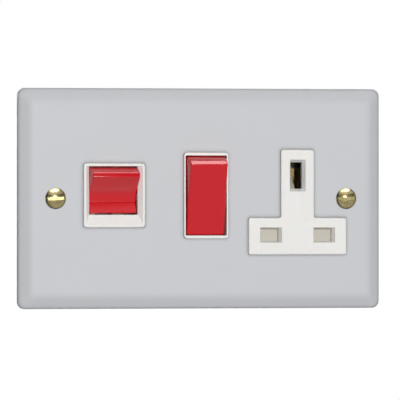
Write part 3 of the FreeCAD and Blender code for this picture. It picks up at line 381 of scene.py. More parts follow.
FINISHES: dict[Slot, PowderCoat | Moulding | WorkedMetal] = {
    Slot.PLATE_PAINT: PowderCoat("plate_paint_satin", (0.580, 0.591, 0.612)),
    Slot.WHITE_MOULDING: Moulding("white_moulding_gloss", (0.82, 0.81, 0.785), specular=0.25, bleed_mm=0.4),
    Slot.BASE_MOULDING: Moulding(
        "base_moulding_matt", (0.70, 0.69, 0.665),
        roughness=0.5, skin_mm=0.6, skin_depth_mm=0.02, skin_strength=0.35,
    ),
    Slot.RED_MOULDING: Moulding(
        "red_moulding_gloss", (0.59, 0.006, 0.013),
        specular=0.7, roughness=0.14, flow=0.04, skin_strength=0.05,
    ),
    # The shutter's pale plastic is darkened here as painted shade, for the shade deep inside the socket's
    # slots.
    Slot.SHUTTER_MOULDING: Moulding("shutter_moulding_matt_painted_shade", (0.46, 0.43, 0.37), roughness=0.42),
    Slot.PLUNGER_NYLON: Moulding("plunger_nylon_natural", (0.78, 0.75, 0.66), roughness=0.36, bleed_mm=0.5),
    Slot.SCREW_BRASS: WorkedMetal(
        "screw_brass_plated", (0.76, 0.66, 0.36), (0.50, 0.40, 0.17),
        roughness=0.24, line_stretch=(6.0, 6.0, 6.0),
    ),
    # Darker than plain brass: painted shade for the earth contact seen deep in its slot; the terminals at the
    # back take it too.
    Slot.TERMINAL_BRASS: WorkedMetal("terminal_brass_drawn_painted_shade", (0.44, 0.34, 0.19), (0.31, 0.23, 0.12)),
    Slot.CONTACT_COPPER: WorkedMetal("contact_copper_rolled", (0.78, 0.44, 0.28), (0.58, 0.29, 0.17)),
    Slot.ZINC_STEEL: WorkedMetal(
        "zinc_plate_bright", (0.70, 0.71, 0.72), (0.55, 0.56, 0.55),
        roughness=0.3, line_stretch=(5.0, 5.0, 5.0),
    ),
    Slot.SPRING_STEEL: WorkedMetal(
        "spring_wire_drawn", (0.56, 0.56, 0.57), (0.42, 0.41, 0.40), line_stretch=(8.0, 8.0, 8.0),
    ),
}


class Finishes:
    """The finishes' materials, each made once."""

    def __init__(self) -> None:
        """Start with no material made."""
        self.made: dict[Slot, bpy.types.Material] = {}

    def of(self, slot: Slot) -> bpy.types.Material:
        """Find or make the material of a slot.

        Args:
            slot: The material slot.

        Returns:
            Its material.
        """
        if slot not in self.made:
            self.made[slot] = FINISHES[slot].material()
        return self.made[slot]


def turning(axis: Axis, angle_deg: float) -> np.ndarray:
    """Work out a turn about a coordinate axis.

    The next axis in cyclic order turns towards the one after it.

    Args:
        axis: The axis that stays.
        angle_deg: The turn in degrees.

    Returns:
        The three by three matrix of the turn.
    """
    angle = math.radians(angle_deg)
    first = (axis.value + 1) % 3
    second = (axis.value + 2) % 3
    matrix = np.eye(3)
    matrix[[first, second], [first, second]] = math.cos(angle)
    matrix[first, second] = -math.sin(angle)
    matrix[second, first] = math.sin(angle)
    return matrix


@dataclass
class Surface:
    """Points and faces of one or more surfaces, in metres."""

    points: np.ndarray
    quads: np.ndarray
    caps: list[np.ndarray] = field(default_factory=list)
    painted_shade: np.ndarray | None = None

    def shade_factor(self) -> np.ndarray:
        """Return how much painted shade each point has, from 0 to 1."""
        return np.zeros(len(self.points)) if self.painted_shade is None else self.painted_shade

    def moved(self, points: np.ndarray) -> "Surface":
        """Return the same faces and painted shade on other points."""
        return Surface(points, self.quads, self.caps, self.painted_shade)

    def placed(self, centre_mm: Point, turn_deg: float = 0.0, axis: Axis = Axis.X) -> "Surface":
        """Turn the surface about an axis through its origin and move it.

        Args:
            centre_mm: Where the surface's origin goes, in millimetres.
            turn_deg: The turn in degrees. About X it lifts -Y towards -Z.
            axis: The axis of the turn.

        Returns:
            The moved surface.
        """
        return self.moved(self.points @ turning(axis, turn_deg).T + np.array(centre_mm) * MM)


def joined(surfaces: list[Surface]) -> Surface:
    """Put several surfaces into one.

    Args:
        surfaces: The surfaces.

    Returns:
        One surface that holds them all.
    """
    starts = np.cumsum([0] + [len(surface.points) for surface in surfaces])
    return Surface(
        np.concatenate([surface.points for surface in surfaces]),
        np.concatenate([surface.quads + start for surface, start in zip(surfaces, starts)]),
        [cap + start for surface, start in zip(surfaces, starts) for cap in surface.caps],
        np.concatenate([surface.shade_factor() for surface in surfaces]),
    )


def grid_quads(rows: int, columns: int, ring: bool) -> np.ndarray:
    """Number the faces of a grid of points.

    Args:
        rows: Number of rows.
        columns: Number of points in a row.
        ring: Whether the last column joins the first.

    Returns:
        Four point numbers per face.
    """
    faces_across = columns if ring else columns - 1
    row, column = np.meshgrid(np.arange(rows - 1), np.arange(faces_across), indexing="ij")
    start = row * columns
    after = (column + 1) % columns
    corners = [start + column, start + after, start + columns + after, start + columns + column]
    return np.stack(corners, axis=-1).reshape(-1, 4)


def capped(rings: np.ndarray) -> Surface:
    """Join rings of points side to side, and close the first and the last with a face.

    Args:
        rings: An array of rings, points round a ring and coordinates.

    Returns:
        The closed surface.
    """
    rows, columns, _ = rings.shape
    ring = np.arange(columns)
    caps = [ring, ring + (rows - 1) * columns]
    return Surface(rings.reshape(-1, 3), grid_quads(rows, columns, True), caps)


def rings_about_y(radius: np.ndarray, along: np.ndarray) -> np.ndarray:
    """Place rings of points about the Y axis.

    Point (i, j) of n round the ring is at radius r_ij and place y_ij, at the angle 2 pi j / n round Y.

    Args:
        radius: Radii in rows of one ring each.
        along: Places along Y, likewise.

    Returns:
        An array of rings, points round a ring and coordinates.
    """
    angle = np.linspace(0, FULL_TURN, radius.shape[1], endpoint=False)
    return np.stack([radius * np.cos(angle), along, radius * np.sin(angle)], axis=-1)


def lathe(profile: np.ndarray, segments: int = 24) -> Surface:
    """Turn a profile about the Y axis.

    Each row of the profile becomes a ring of its radius at its place along Y.

    Args:
        profile: Rows of radius and place along Y, in metres, from the front end to the back end.
        segments: Number of points round the axis.

    Returns:
        The turned surface, closed at both ends.
    """
    radius = np.repeat(profile[:, :1], segments, axis=1)
    along = np.repeat(profile[:, 1:], segments, axis=1)
    return capped(rings_about_y(radius, along))


def threaded_rod(radius: float, pitch: float, start: float, length: float, segments: int = 24) -> Surface:
    """Make a rod along Y with a rolled thread.

    The radius falls from the crest by the thread's depth times a triangle wave of (y / pitch - angle / turn),
    and the crest fades to the core over one pitch at each end.

    Args:
        radius: Radius at the crests, in metres.
        pitch: Rise of one turn.
        start: Place of the front end along Y.
        length: Length of the rod.
        segments: Number of points round the axis.

    Returns:
        The rod, closed at both ends.
    """
    steps_per_pitch = 8
    depth = 0.5 * pitch
    rows = int(math.ceil(length / pitch * steps_per_pitch)) + 1
    along = np.linspace(0, length, rows)[:, None]
    turned = np.linspace(0, 1, segments, endpoint=False)[None, :]
    wave = np.abs(2 * ((along / pitch - turned) % 1.0) - 1)
    crest = np.clip(np.minimum(along, length - along) / pitch, 0, 1)
    width = radius - depth * (1 - wave * crest)
    return capped(rings_about_y(width, np.broadcast_to(along + start, width.shape)))


def coil(radius: float, wire: float, length: float, turns: float) -> Surface:
    """Wind a wire into a compression spring along +Z with closed ends.

    The wire's middle is at the angle 2 pi turns s and the height z(s), where z rises by one wire's width over
    the first and the last turn. A circle of the wire's radius, upright through the axis, is carried along it.

    Args:
        radius: Radius of the spring at the wire's middle, in metres.
        wire: Radius of the wire.
        length: Length of the spring from end to end.
        turns: Number of turns, the closed ones among them.

    Returns:
        The wire's surface, closed at both ends.
    """
    steps_per_turn = 24
    around = 8
    share = np.linspace(0, 1, int(turns * steps_per_turn))
    closed = 1.0 / turns
    rise = np.clip((share - closed) / (1 - 2 * closed), 0, 1)
    slow = np.clip(share / closed, 0, 1) + np.clip((share - 1 + closed) / closed, 0, 1)
    open_length = length - 6 * wire
    height = wire + slow * 2 * wire + rise * open_length
    angle = FULL_TURN * turns * share
    out = np.stack([np.cos(angle), np.sin(angle), np.zeros_like(angle)], axis=-1)
    up = np.array([0.0, 0.0, 1.0])
    middle = out * radius + height[:, None] * up
    turn = np.linspace(0, FULL_TURN, around, endpoint=False)
    ring = np.cos(turn)[None, :, None] * out[:, None, :] + np.sin(turn)[None, :, None] * up
    return capped(middle[:, None, :] + wire * ring)


def rounded_outline(corners: np.ndarray, radii: np.ndarray, steps: int = 8) -> np.ndarray:
    """Round every corner of a closed outline.

    At a corner with a turn a, the arc of radius r begins r tan(a / 2) before the corner on both lines. Its
    points are the quadratic through the two ends and the corner, weighted so that its middle lies on the arc.

    Args:
        corners: Rows of two coordinates.
        radii: Radius at each corner.
        steps: Points per corner.

    Returns:
        Rows of two coordinates of the rounded outline.
    """
    before = np.roll(corners, 1, axis=0) - corners
    after = np.roll(corners, -1, axis=0) - corners
    before /= np.linalg.norm(before, axis=1, keepdims=True)
    after /= np.linalg.norm(after, axis=1, keepdims=True)
    half = np.arccos(np.clip(-(before * after).sum(axis=1), -1, 1)) / 2
    reach = (radii * np.tan(half))[:, None]
    start = (corners + before * reach)[:, None, :]
    end = (corners + after * reach)[:, None, :]
    share = np.linspace(0, 1, steps)[None, :, None]
    at_start = (1 - share) ** 2
    at_corner = 2 * np.cos(half)[:, None, None] * share * (1 - share)
    at_end = share ** 2
    arcs = at_start * start + at_corner * corners[:, None, :] + at_end * end
    return (arcs / (at_start + at_corner + at_end)).reshape(-1, 2)


def soft_prism(outline: np.ndarray, width: float, edge: float, steps: int = 6) -> Surface:
    """Carry an outline of (Y, Z) across X and round its two end edges.

    At the angle a of the end's quarter round the section stands at width / 2 - edge + edge sin a, and it is
    drawn in by edge (1 - cos a) along its own normals.

    Args:
        outline: Rows of Y and Z, turning left seen from +X.
        width: Whole width along X.
        edge: Radius of the end edges.
        steps: Sections in each quarter round.

    Returns:
        The closed surface.
    """
    along = np.roll(outline, -1, axis=0) - np.roll(outline, 1, axis=0)
    along /= np.linalg.norm(along, axis=1, keepdims=True)
    inward = np.stack([-along[:, 1], along[:, 0]], axis=-1)
    angle = np.linspace(np.pi / 2, 0, steps)
    out = width / 2 - edge + edge * np.sin(angle)
    drawn = edge * (1 - np.cos(angle))
    places = np.concatenate([-out, out[::-1]])
    insets = np.concatenate([drawn, drawn[::-1]])
    sections = outline[None, :, :] + inward[None, :, :] * insets[:, None, None]
    across = np.broadcast_to(places[:, None, None], (len(places), len(outline), 1))
    return capped(np.concatenate([across, sections], axis=-1))


def piece(name: str, surface: Surface, sharp_deg: float = 32.0) -> bpy.types.Object:
    """Make a smooth-shaded mesh object, with seams and poles welded and faces turned outwards.

    Args:
        name: The object's name.
        surface: Its points and faces.
        sharp_deg: Edges that turn by more than this stay sharp.

    Returns:
        The linked object.
    """
    mesh = bpy.data.meshes.new(name)
    faces = surface.quads.tolist() + [cap.tolist() for cap in surface.caps]
    mesh.from_pydata(surface.points.tolist(), [], faces)
    # Each point's share of painted shade, which the metal finishes read.
    mesh.attributes.new(SHADE_ATTRIBUTE, "FLOAT", "POINT").data.foreach_set("value", surface.shade_factor())
    shape = bmesh.new()
    shape.from_mesh(mesh)
    bmesh.ops.remove_doubles(shape, verts=shape.verts, dist=WELD)
    bmesh.ops.recalc_face_normals(shape, faces=shape.faces)
    shape.to_mesh(mesh)
    shape.free()
    mesh.validate()
    mesh.shade_smooth()
    mesh.set_sharp_from_angle(angle=math.radians(sharp_deg))
    made = bpy.data.objects.new(name, mesh)
    bpy.context.scene.collection.objects.link(made)
    return made


@dataclass
class Assembly:
    """What every sub-assembly of the unit shares: putting a piece in the frame with its finish."""

    finishes: Finishes

    def put(self, name: str, surface: Surface, body: Body, node: str, slot: Slot) -> bpy.types.Object:
        """Make a piece, let it ride on a body, stand for its node and take its finish.

        Args:
            name: The piece's name.
            surface: Its points and faces.
            body: The body that it rides on.
            node: The node that it stands for.
            slot: Its material slot.

        Returns:
            The piece.
        """
        made = piece(name, surface)
        made.data.materials.append(self.finishes.of(slot))
        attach(made, body.value)
        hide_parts(node)
        LOG.info("%s: %d points, rides on %s", name, len(made.data.vertices), body.value)
        return made


@dataclass
class RockerSizes:
    """Sizes of one rocker in millimetres, in its own frame about its pivot.

    The face's rows give Y, Z and a radius for each of its corners between the toe and the nose.
    """

    node: str
    body: Body
    pivot: Point
    tilt_deg: float
    width: float
    end_radius: float
    lower_radius: float
    nose: float
    nose_bevel: tuple[float, float]
    nose_round: float
    toe: float
    toe_round: float
    face: tuple[Point, ...]
    back: float
    tubes: tuple[float, ...]
    reach: float
    draft: float
    edge: float
    arc_points: int = 7
    arc_round: float = 1.0
    stub: float = 2.0
    stub_radius: float = 1.0
    lead: float = 0.2
    tube_radius: float = 2.1
    tube_segments: int = 32
    tube_clear: float = 2.55
    bore_radius: float = 1.28
    bore_floor: float = 0.9
    plunger_rod: float = 5.5

    @property
    def tube_end(self) -> float:
        """Place of the tubes' open ends behind the pivot."""
        return self.reach - self.tube_clear

    @property
    def spring_length(self) -> float:
        """Length of a spring between the bore's floor and its plunger at rest."""
        return self.reach - self.plunger_rod - self.bore_floor


@dataclass
class Rocker(Assembly):
    """A red rocker with softened edges, its trunnion stubs and its plunger tubes."""

    sizes: RockerSizes

    def end_arc(self, front: float, radius: float, side: int) -> np.ndarray:
        """Draw one end, on the circle about the pivot.

        Point k is at the radius R and the angle that runs evenly from asin(front / R) to asin(-back / R).

        Args:
            front: How far in front of the pivot the end begins.
            radius: Radius of the circle.
            side: 1 for the top and -1 for the bottom.

        Returns:
            Rows of Y and Z in millimetres, from front to back.
        """
        first = math.asin(front / radius)
        last = -math.asin(self.sizes.back / radius)
        angle = np.linspace(first, last, self.sizes.arc_points)
        return np.stack([-radius * np.sin(angle), side * radius * np.cos(angle)], axis=-1)

    def outline(self) -> np.ndarray:
        """Draw the rocker's side: upper end, back, lower end and face, with a bevel at the nose.

        Returns:
            Rows of Y and Z in metres.
        """
        sizes = self.sizes
        back, drop = sizes.nose_bevel
        top = self.end_arc(sizes.nose - back, sizes.end_radius, 1)
        bottom = self.end_arc(sizes.toe, sizes.lower_radius, -1)[::-1]
        face = np.array(sizes.face)
        nose = top[:1] - np.array([[back, drop]])
        corners = np.concatenate([top, bottom, face[:, :2], nose])
        ends = len(top) + len(bottom)
        radii = np.full(len(corners), sizes.arc_round)
        radii[[0, ends - 1, -1]] = sizes.nose_round, sizes.toe_round, sizes.nose_round
        radii[[len(top) - 1, len(top)]] = sizes.edge
        radii[ends:-1] = face[:, 2]
        return rounded_outline(corners, radii)[::-1] * MM

    def drafted(self, shell: Surface) -> Surface:
        """Narrow the shell towards its front, as a moulded rocker is.

        X is scaled by 1 - 2 draft / width times the share of the way from the pivot to the nose.

        Args:
            shell: The straight-sided shell about the pivot.

        Returns:
            The shell with draft on both sides.
        """
        sizes = self.sizes
        share = np.clip(-shell.points[:, 1] / (sizes.nose * MM), 0, 1)
        points = shell.points.copy()
        points[:, 0] *= 1 - 2 * sizes.draft / sizes.width * share
        return shell.moved(points)

    def stubs(self) -> list[Surface]:
        """Turn the two trunnion stubs and lay them along X.

        Returns:
            Both stubs about the pivot.
        """
        sizes = self.sizes
        profile = np.array([
            [sizes.stub_radius, 0.0],
            [sizes.stub_radius, sizes.stub - sizes.lead],
            [sizes.stub_radius - sizes.lead, sizes.stub],
        ]) * MM
        upright = lathe(profile)
        laid = upright.points[:, [1, 0, 2]] + np.array([sizes.width / 2 * MM, 0, 0])
        return [upright.moved(laid * np.array([side, 1, 1])) for side in (-1, 1)]

    def tubes(self) -> list[Surface]:
        """Turn the hollow plunger tubes along Y.

        Returns:
            The tubes about the pivot.
        """
        sizes = self.sizes
        profile = np.array([
            [sizes.tube_radius, sizes.back - sizes.lead],
            [sizes.tube_radius, sizes.tube_end - sizes.lead],
            [sizes.tube_radius - sizes.lead, sizes.tube_end],
            [sizes.bore_radius + sizes.lead, sizes.tube_end],
            [sizes.bore_radius, sizes.tube_end - sizes.lead],
            [sizes.bore_radius, sizes.bore_floor],
        ]) * MM
        return [lathe(profile, sizes.tube_segments).placed((x, 0, 0)) for x in sizes.tubes]

    def build(self) -> None:
        """Build the rocker and put it in place of its node."""
        sizes = self.sizes
        shell = soft_prism(self.outline(), sizes.width * MM, sizes.edge * MM)
        whole = joined([self.drafted(shell)] + self.stubs() + self.tubes())
        placed = whole.placed(sizes.pivot, sizes.tilt_deg)
        self.put(f"{sizes.node}_soft", placed, sizes.body, sizes.node, Slot.RED_MOULDING)


COOKER_ROCKER = RockerSizes(
    node="cooker_rocker", body=Body.COOKER_ROCKER, pivot=(-36.1, -2.0, 3.05), tilt_deg=22.0, width=19.6,
    end_radius=9.5, lower_radius=9.0, nose=4.1, nose_bevel=(1.0, 1.4), nose_round=0.7, toe=4.4,
    toe_round=0.35, back=2.2, tubes=(-5.5, 5.5), reach=10.3, draft=0.1, edge=0.5,
    face=(
        (-1.15, -4.55, 0.1), (0.24, -5.05, 0.05), (0.36, -4.65, 0.05), (-1.0, -4.1, 0.1), (-0.05, -1.75, 7.0),
    ),
)
SOCKET_ROCKER = RockerSizes(
    node="socket_rocker", body=Body.SOCKET_ROCKER, pivot=(1.8, -1.2, 1.2), tilt_deg=9.0, width=16.7,
    end_radius=15.95, lower_radius=15.95, nose=7.0, nose_bevel=(1.2, 1.25), nose_round=0.6, toe=5.4,
    toe_round=0.9, back=1.8, tubes=(0.0,), reach=10.8, draft=0.7, edge=0.7,
    face=((-5.6, -1.0, 60.0),),
)


@dataclass
class ScrewSizes:
    """Sizes of a slotted screw in millimetres. Its head stands out along -Y of the seat it is given."""

    head_radius: float
    head_height: float
    rim: float
    slot_width: float
    slot_depth: float
    shank_radius: float
    shank_length: float
    pitch: float
    neck_radius: float = 0.0
    neck_length: float = 0.0
    lip_share: float = 0.15
    # Painted shade on the head: the share of its radius left unshaded, and the painted shade in the slot,
    # where shade falls.
    clean: float = 0.80
    slot_shade: float = 0.35
    rows: int = 18
    columns: int = 41


@dataclass
class SlottedScrew:
    """A slotted screw whose head is a grid of chords, so that its slot has straight crisp edges."""

    sizes: ScrewSizes

    def rows(self) -> tuple[np.ndarray, np.ndarray]:
        """Place the head's rows across the slot.

        The rows close up towards the rim, and a pair of rows at each slot edge makes its upright wall.

        Returns:
            The rows' places in millimetres, and which of them lie in the slot.
        """
        half = self.sizes.slot_width / 2
        first = half * (1 + self.sizes.lip_share)
        share = np.linspace(0, 1, self.sizes.rows)
        outer = first + (self.sizes.head_radius - first) * np.sin(share * np.pi / 2)
        above = np.concatenate([[half, half], outer])
        in_slot = np.arange(len(above)) == 0
        return np.concatenate([-above[::-1], above]), np.concatenate([in_slot[::-1], in_slot])

    def head(self) -> Surface:
        """Make the head.

        The point (t, s) is at height t across the slot and s sqrt(R^2 - t^2) along it. It stands out by the
        rim plus a spherical dome, or by the slot's floor where the row lies in the slot.

        Returns:
            The closed head on its seat.
        """
        sizes = self.sizes
        places, in_slot = self.rows()
        columns = np.sin(np.linspace(-np.pi / 2, np.pi / 2, sizes.columns))
        chord = np.sqrt(np.clip(sizes.head_radius ** 2 - places ** 2, 0, None))
        across = columns[None, :] * chord[:, None]
        up = np.broadcast_to(places[:, None], across.shape)
        dome = sizes.head_height - sizes.rim
        ball = (sizes.head_radius ** 2 + dome ** 2) / (2 * dome)
        cap = np.sqrt(np.clip(ball ** 2 - across ** 2 - up ** 2, 0, None)) - (ball - dome)
        out = sizes.rim + np.clip(cap, 0, None)
        floor = np.minimum(out, sizes.head_height - sizes.slot_depth)
        out = np.where(in_slot[:, None], floor, out)
        # Painted shade: darker towards the rim past the unshaded middle, and evenly in the slot, where shade
        # falls.
        from_middle = np.sqrt(across ** 2 + up ** 2) / sizes.head_radius
        edge = np.clip((from_middle - sizes.clean) / (1 - sizes.clean), 0, 1)
        painted_shade = np.where(in_slot[:, None], sizes.slot_shade, edge)
        front = np.stack([across, -out, up], axis=-1).reshape(-1, 3)
        back = front * np.array([1, 0, 1])
        rows, count = across.shape
        total = rows * count
        quads = grid_quads(rows, count, False)
        left = np.arange(rows) * count
        right = left + count - 1
        sides = [
            np.stack([rim[:-1], rim[1:], rim[1:] + total, rim[:-1] + total], axis=-1)
            for rim in (left, right)
        ]
        faces = np.concatenate([quads, quads + total] + sides)
        return Surface(np.concatenate([front, back]) * MM, faces, painted_shade=np.tile(painted_shade.reshape(-1), 2))

    def surface(self) -> Surface:
        """Make the whole screw.

        Returns:
            Its head, plain neck and threaded shank.
        """
        sizes = self.sizes
        parts = [self.head()]
        if sizes.neck_length:
            neck_end = sizes.neck_length + sizes.pitch
            parts.append(lathe(np.array([[sizes.neck_radius, 0.0], [sizes.neck_radius, neck_end]]) * MM))
        thread = sizes.shank_length - sizes.neck_length
        parts.append(threaded_rod(
            sizes.shank_radius * MM, sizes.pitch * MM, sizes.neck_length * MM, thread * MM,
        ))
        return joined(parts)


@dataclass
class FrontScrews(Assembly):
    """The two brass screws that hold the plate to its wall box."""

    centres: float = 120.6
    face: float = -4.6
    slot_turn_deg: float = -3.0
    sizes: ScrewSizes = field(default_factory=lambda: ScrewSizes(
        head_radius=4.2, head_height=2.1, rim=0.35, slot_width=1.2, slot_depth=1.1, shank_radius=1.75,
        shank_length=24.6, pitch=0.6, neck_radius=1.4, neck_length=2.4,
    ))

    def build(self) -> None:
        """Build both screws in place of their node."""
        screw = SlottedScrew(self.sizes).surface()
        for side, sign in (("left", -1), ("right", 1)):
            centre = (sign * self.centres / 2, self.face, 0.0)
            placed = screw.placed(centre, self.slot_turn_deg, Axis.Y)
            self.put(f"fixing_screw_{side}", placed, Body.FRAME, "fixing_screws", Slot.SCREW_BRASS)


@dataclass
class ScrewSet:
    """One node's screws, heads towards the wall: X and Z of each and Y of their seat, in millimetres."""

    name: str
    node: str
    places: Places
    seat: float
    sizes: ScrewSizes


@dataclass
class RearScrews(Assembly):
    """The screws seen from behind: five that hold the bases and five cable clamp screws."""

    turn_deg: float = 180.0
    base: ScrewSet = field(default_factory=lambda: ScrewSet(
        "base_screws_slotted", "base_screws",
        places=((-36.1, 25.6), (-36.1, -22.6), (1.8, 25.6), (1.8, -22.6), (50.6, 25.6)), seat=23.0,
        sizes=ScrewSizes(
            head_radius=2.4, head_height=1.4, rim=0.8, slot_width=0.8, slot_depth=0.75, shank_radius=1.3,
            shank_length=24.4, pitch=0.7,
        ),
    ))
    clamp: ScrewSet = field(default_factory=lambda: ScrewSet(
        "clamp_screws_slotted", "terminal_screws",
        places=((-44.6, 21.9), (-44.6, -18.9), (-27.6, 21.9), (-27.6, -18.9), (30.5, 21.9)), seat=21.0,
        sizes=ScrewSizes(
            head_radius=2.4, head_height=1.8, rim=1.5, slot_width=0.8, slot_depth=0.8, shank_radius=2.0,
            shank_length=2.5, pitch=0.6,
        ),
    ))

    def build(self) -> None:
        """Build both sets in place of their nodes."""
        for group in (self.base, self.clamp):
            screw = SlottedScrew(group.sizes).surface()
            screws = [screw.placed((x, group.seat, z), self.turn_deg) for x, z in group.places]
            self.put(group.name, joined(screws), Body.FRAME, group.node, Slot.ZINC_STEEL)


@dataclass
class StudsAndNuts(Assembly):
    """The plate's threaded studs and the hexagon nuts that clamp the modules to it."""

    places: Places = ((-36.1, 32.5), (-36.1, -29.5), (19.0, 32.5), (19.0, -29.5))
    stud_start: float = -3.4
    stud_length: float = 7.0
    stud_radius: float = 1.5
    pitch: float = 0.5
    nut_start: float = -1.4
    nut_height: float = 2.4
    nut_radius: float = 3.1
    nut_lead: float = 0.25
    nut_segments: int = 72
    chamfer_share: float = 0.97

    def nut(self) -> Surface:
        """Make one chamfered nut about Y.

        At the angle a the side stands at the apothem over cos(a mod 60 deg - 30 deg). Where that is past the
        chamfer's circle, the corner is cut back by the overhang times tan(30 deg).

        Returns:
            The closed nut with its hole.
        """
        slope = math.pi / 6
        angle = np.linspace(0, FULL_TURN, self.nut_segments, endpoint=False)
        apothem = self.nut_radius * math.cos(slope)
        side = apothem / np.cos((angle + slope) % (2 * slope) - slope)
        flat = np.zeros_like(angle)
        chamfer = flat + apothem * self.chamfer_share
        cut = np.clip(side - chamfer, 0, None) * math.tan(slope)
        hole = flat + self.stud_radius
        sunk = hole + self.nut_lead
        high = flat + self.nut_height
        radius = np.stack([hole, sunk, chamfer, side, side, chamfer, sunk, hole, hole])
        lead = flat + self.nut_lead
        along = np.stack([lead, flat, flat, cut, high - cut, high, high, high - lead, lead])
        points = rings_about_y(radius, along).reshape(-1, 3) * MM
        return Surface(points, grid_quads(len(radius), self.nut_segments, True))

    def build(self) -> None:
        """Build the studs and the nuts in place of their nodes."""
        stud = threaded_rod(self.stud_radius * MM, self.pitch * MM, 0.0, self.stud_length * MM)
        studs = [stud.placed((x, self.stud_start, z)) for x, z in self.places]
        self.put("plate_studs_threaded", joined(studs), Body.FRAME, "plate_studs", Slot.ZINC_STEEL)
        nut = self.nut()
        nuts = [nut.placed((x, self.nut_start, z)) for x, z in self.places]
        self.put("stud_nuts_chamfered", joined(nuts), Body.FRAME, "stud_nuts", Slot.ZINC_STEEL)


@dataclass
class SpringPlace:
    """Where one spring stands, how it leans from upright and which joint presses it, in millimetres."""

    node: str
    body: Body
    joint: str
    foot: Point
    lean_deg: float
    outer_radius: float
    length: float
    travel: float
    turns: float


@dataclass
class Springs(Assembly):
    """The wound springs in place of the plain sleeves: three behind plungers and one under the shutter."""

    wire: float = 0.16
    plunger_radius: float = 1.2
    plunger_turns: float = 6.0
    plunger_travel: float = 1.0
    shutter_radius: float = 1.0
    shutter_turns: float = 9.0
    shutter_travel: float = 5.9
    upright_deg: float = 90.0

    def behind_plunger(self, node: str, joint: str, rocker: RockerSizes, tube: float) -> SpringPlace:
        """Find the place of a plunger's spring in its rocker.

        Args:
            node: The spring's node.
            joint: The plunger's joint.
            rocker: The rocker's sizes.
            tube: Place of the spring's tube along X from the pivot.

        Returns:
            The spring's place.
        """
        angle = math.radians(rocker.tilt_deg)
        x, y, z = rocker.pivot
        foot = (x + tube, y + rocker.bore_floor * math.cos(angle), z + rocker.bore_floor * math.sin(angle))
        return SpringPlace(
            node, rocker.body, joint, foot, rocker.tilt_deg - self.upright_deg, self.plunger_radius,
            rocker.spring_length, self.plunger_travel, self.plunger_turns,
        )

    def under_shutter(self) -> SpringPlace:
        """Find the place of the shutter's spring from its sleeve in the frame.

        Returns:
            The spring's place.
        """
        low, high = (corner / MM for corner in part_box("shutter_spring"))
        middle = (low + high) / 2
        foot = (middle.x, middle.y, low.z)
        return SpringPlace(
            "shutter_spring", Body.FRAME, "shutter_slide", foot, 0.0, self.shutter_radius,
            high.z - low.z, self.shutter_travel, self.shutter_turns,
        )

    def places(self) -> list[SpringPlace]:
        """Find the places of all four springs.

        Returns:
            The places.
        """
        line, neutral = COOKER_ROCKER.tubes
        (middle,) = SOCKET_ROCKER.tubes
        plungers = (
            ("cooker_line_spring", "cooker_line_plunger_slide", COOKER_ROCKER, line),
            ("cooker_neutral_spring", "cooker_neutral_plunger_slide", COOKER_ROCKER, neutral),
            ("socket_plunger_spring", "socket_plunger_slide", SOCKET_ROCKER, middle),
        )
        return [self.behind_plunger(*row) for row in plungers] + [self.under_shutter()]

    def build(self) -> None:
        """Wind each spring in place of its sleeve, each with a mesh of its own."""
        for place in self.places():
            middle_radius = place.outer_radius - self.wire
            wound = coil(middle_radius * MM, self.wire * MM, place.length * MM, place.turns)
            standing = wound.placed(place.foot, place.lean_deg)
            made = self.put(f"{place.node}_wound", standing, place.body, place.node, Slot.SPRING_STEEL)
            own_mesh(made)


@dataclass
class CarriedNodes(Assembly):
    """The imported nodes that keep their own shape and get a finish."""

    def build(self) -> None:
        """Give each node the material of its slot in the record."""
        for row in frame["record"]["subparts"]:
            node = frame["nodes"][row["node"]]
            finish = self.finishes.of(Slot(row["material_slot"]))
            for slot in node.material_slots:
                slot.material = finish
            if not node.material_slots:
                node.data.materials.append(finish)
            LOG.info("%s: finish %s", row["node"], finish.name)


def aimed(data: bpy.types.ID, place: Vector, direction: Vector) -> bpy.types.Object:
    """Put a lamp or a camera into the scene, looking along a direction.

    Args:
        data: The lamp's or the camera's data, whose name the object takes.
        place: Where it stands, in metres.
        direction: Where it looks.

    Returns:
        The linked object.
    """
    made = bpy.data.objects.new(data.name, data)
    made.location = place
    made.rotation_mode = "QUATERNION"
    made.rotation_quaternion = direction.to_track_quat("-Z", "Y")
    bpy.context.scene.collection.objects.link(made)
    return made


@dataclass(frozen=True)
class Lamp:
    """A square soft lamp that faces the unit: its place and side in metres and its power in watts."""

    name: str
    place: Point
    side: float
    power: float

    def build(self) -> None:
        """Hang the lamp."""
        data = bpy.data.lights.new(self.name, "AREA")
        data.shape = "SQUARE"
        data.size = self.side
        data.energy = self.power
        aimed(data, Vector(self.place), -Vector(self.place))


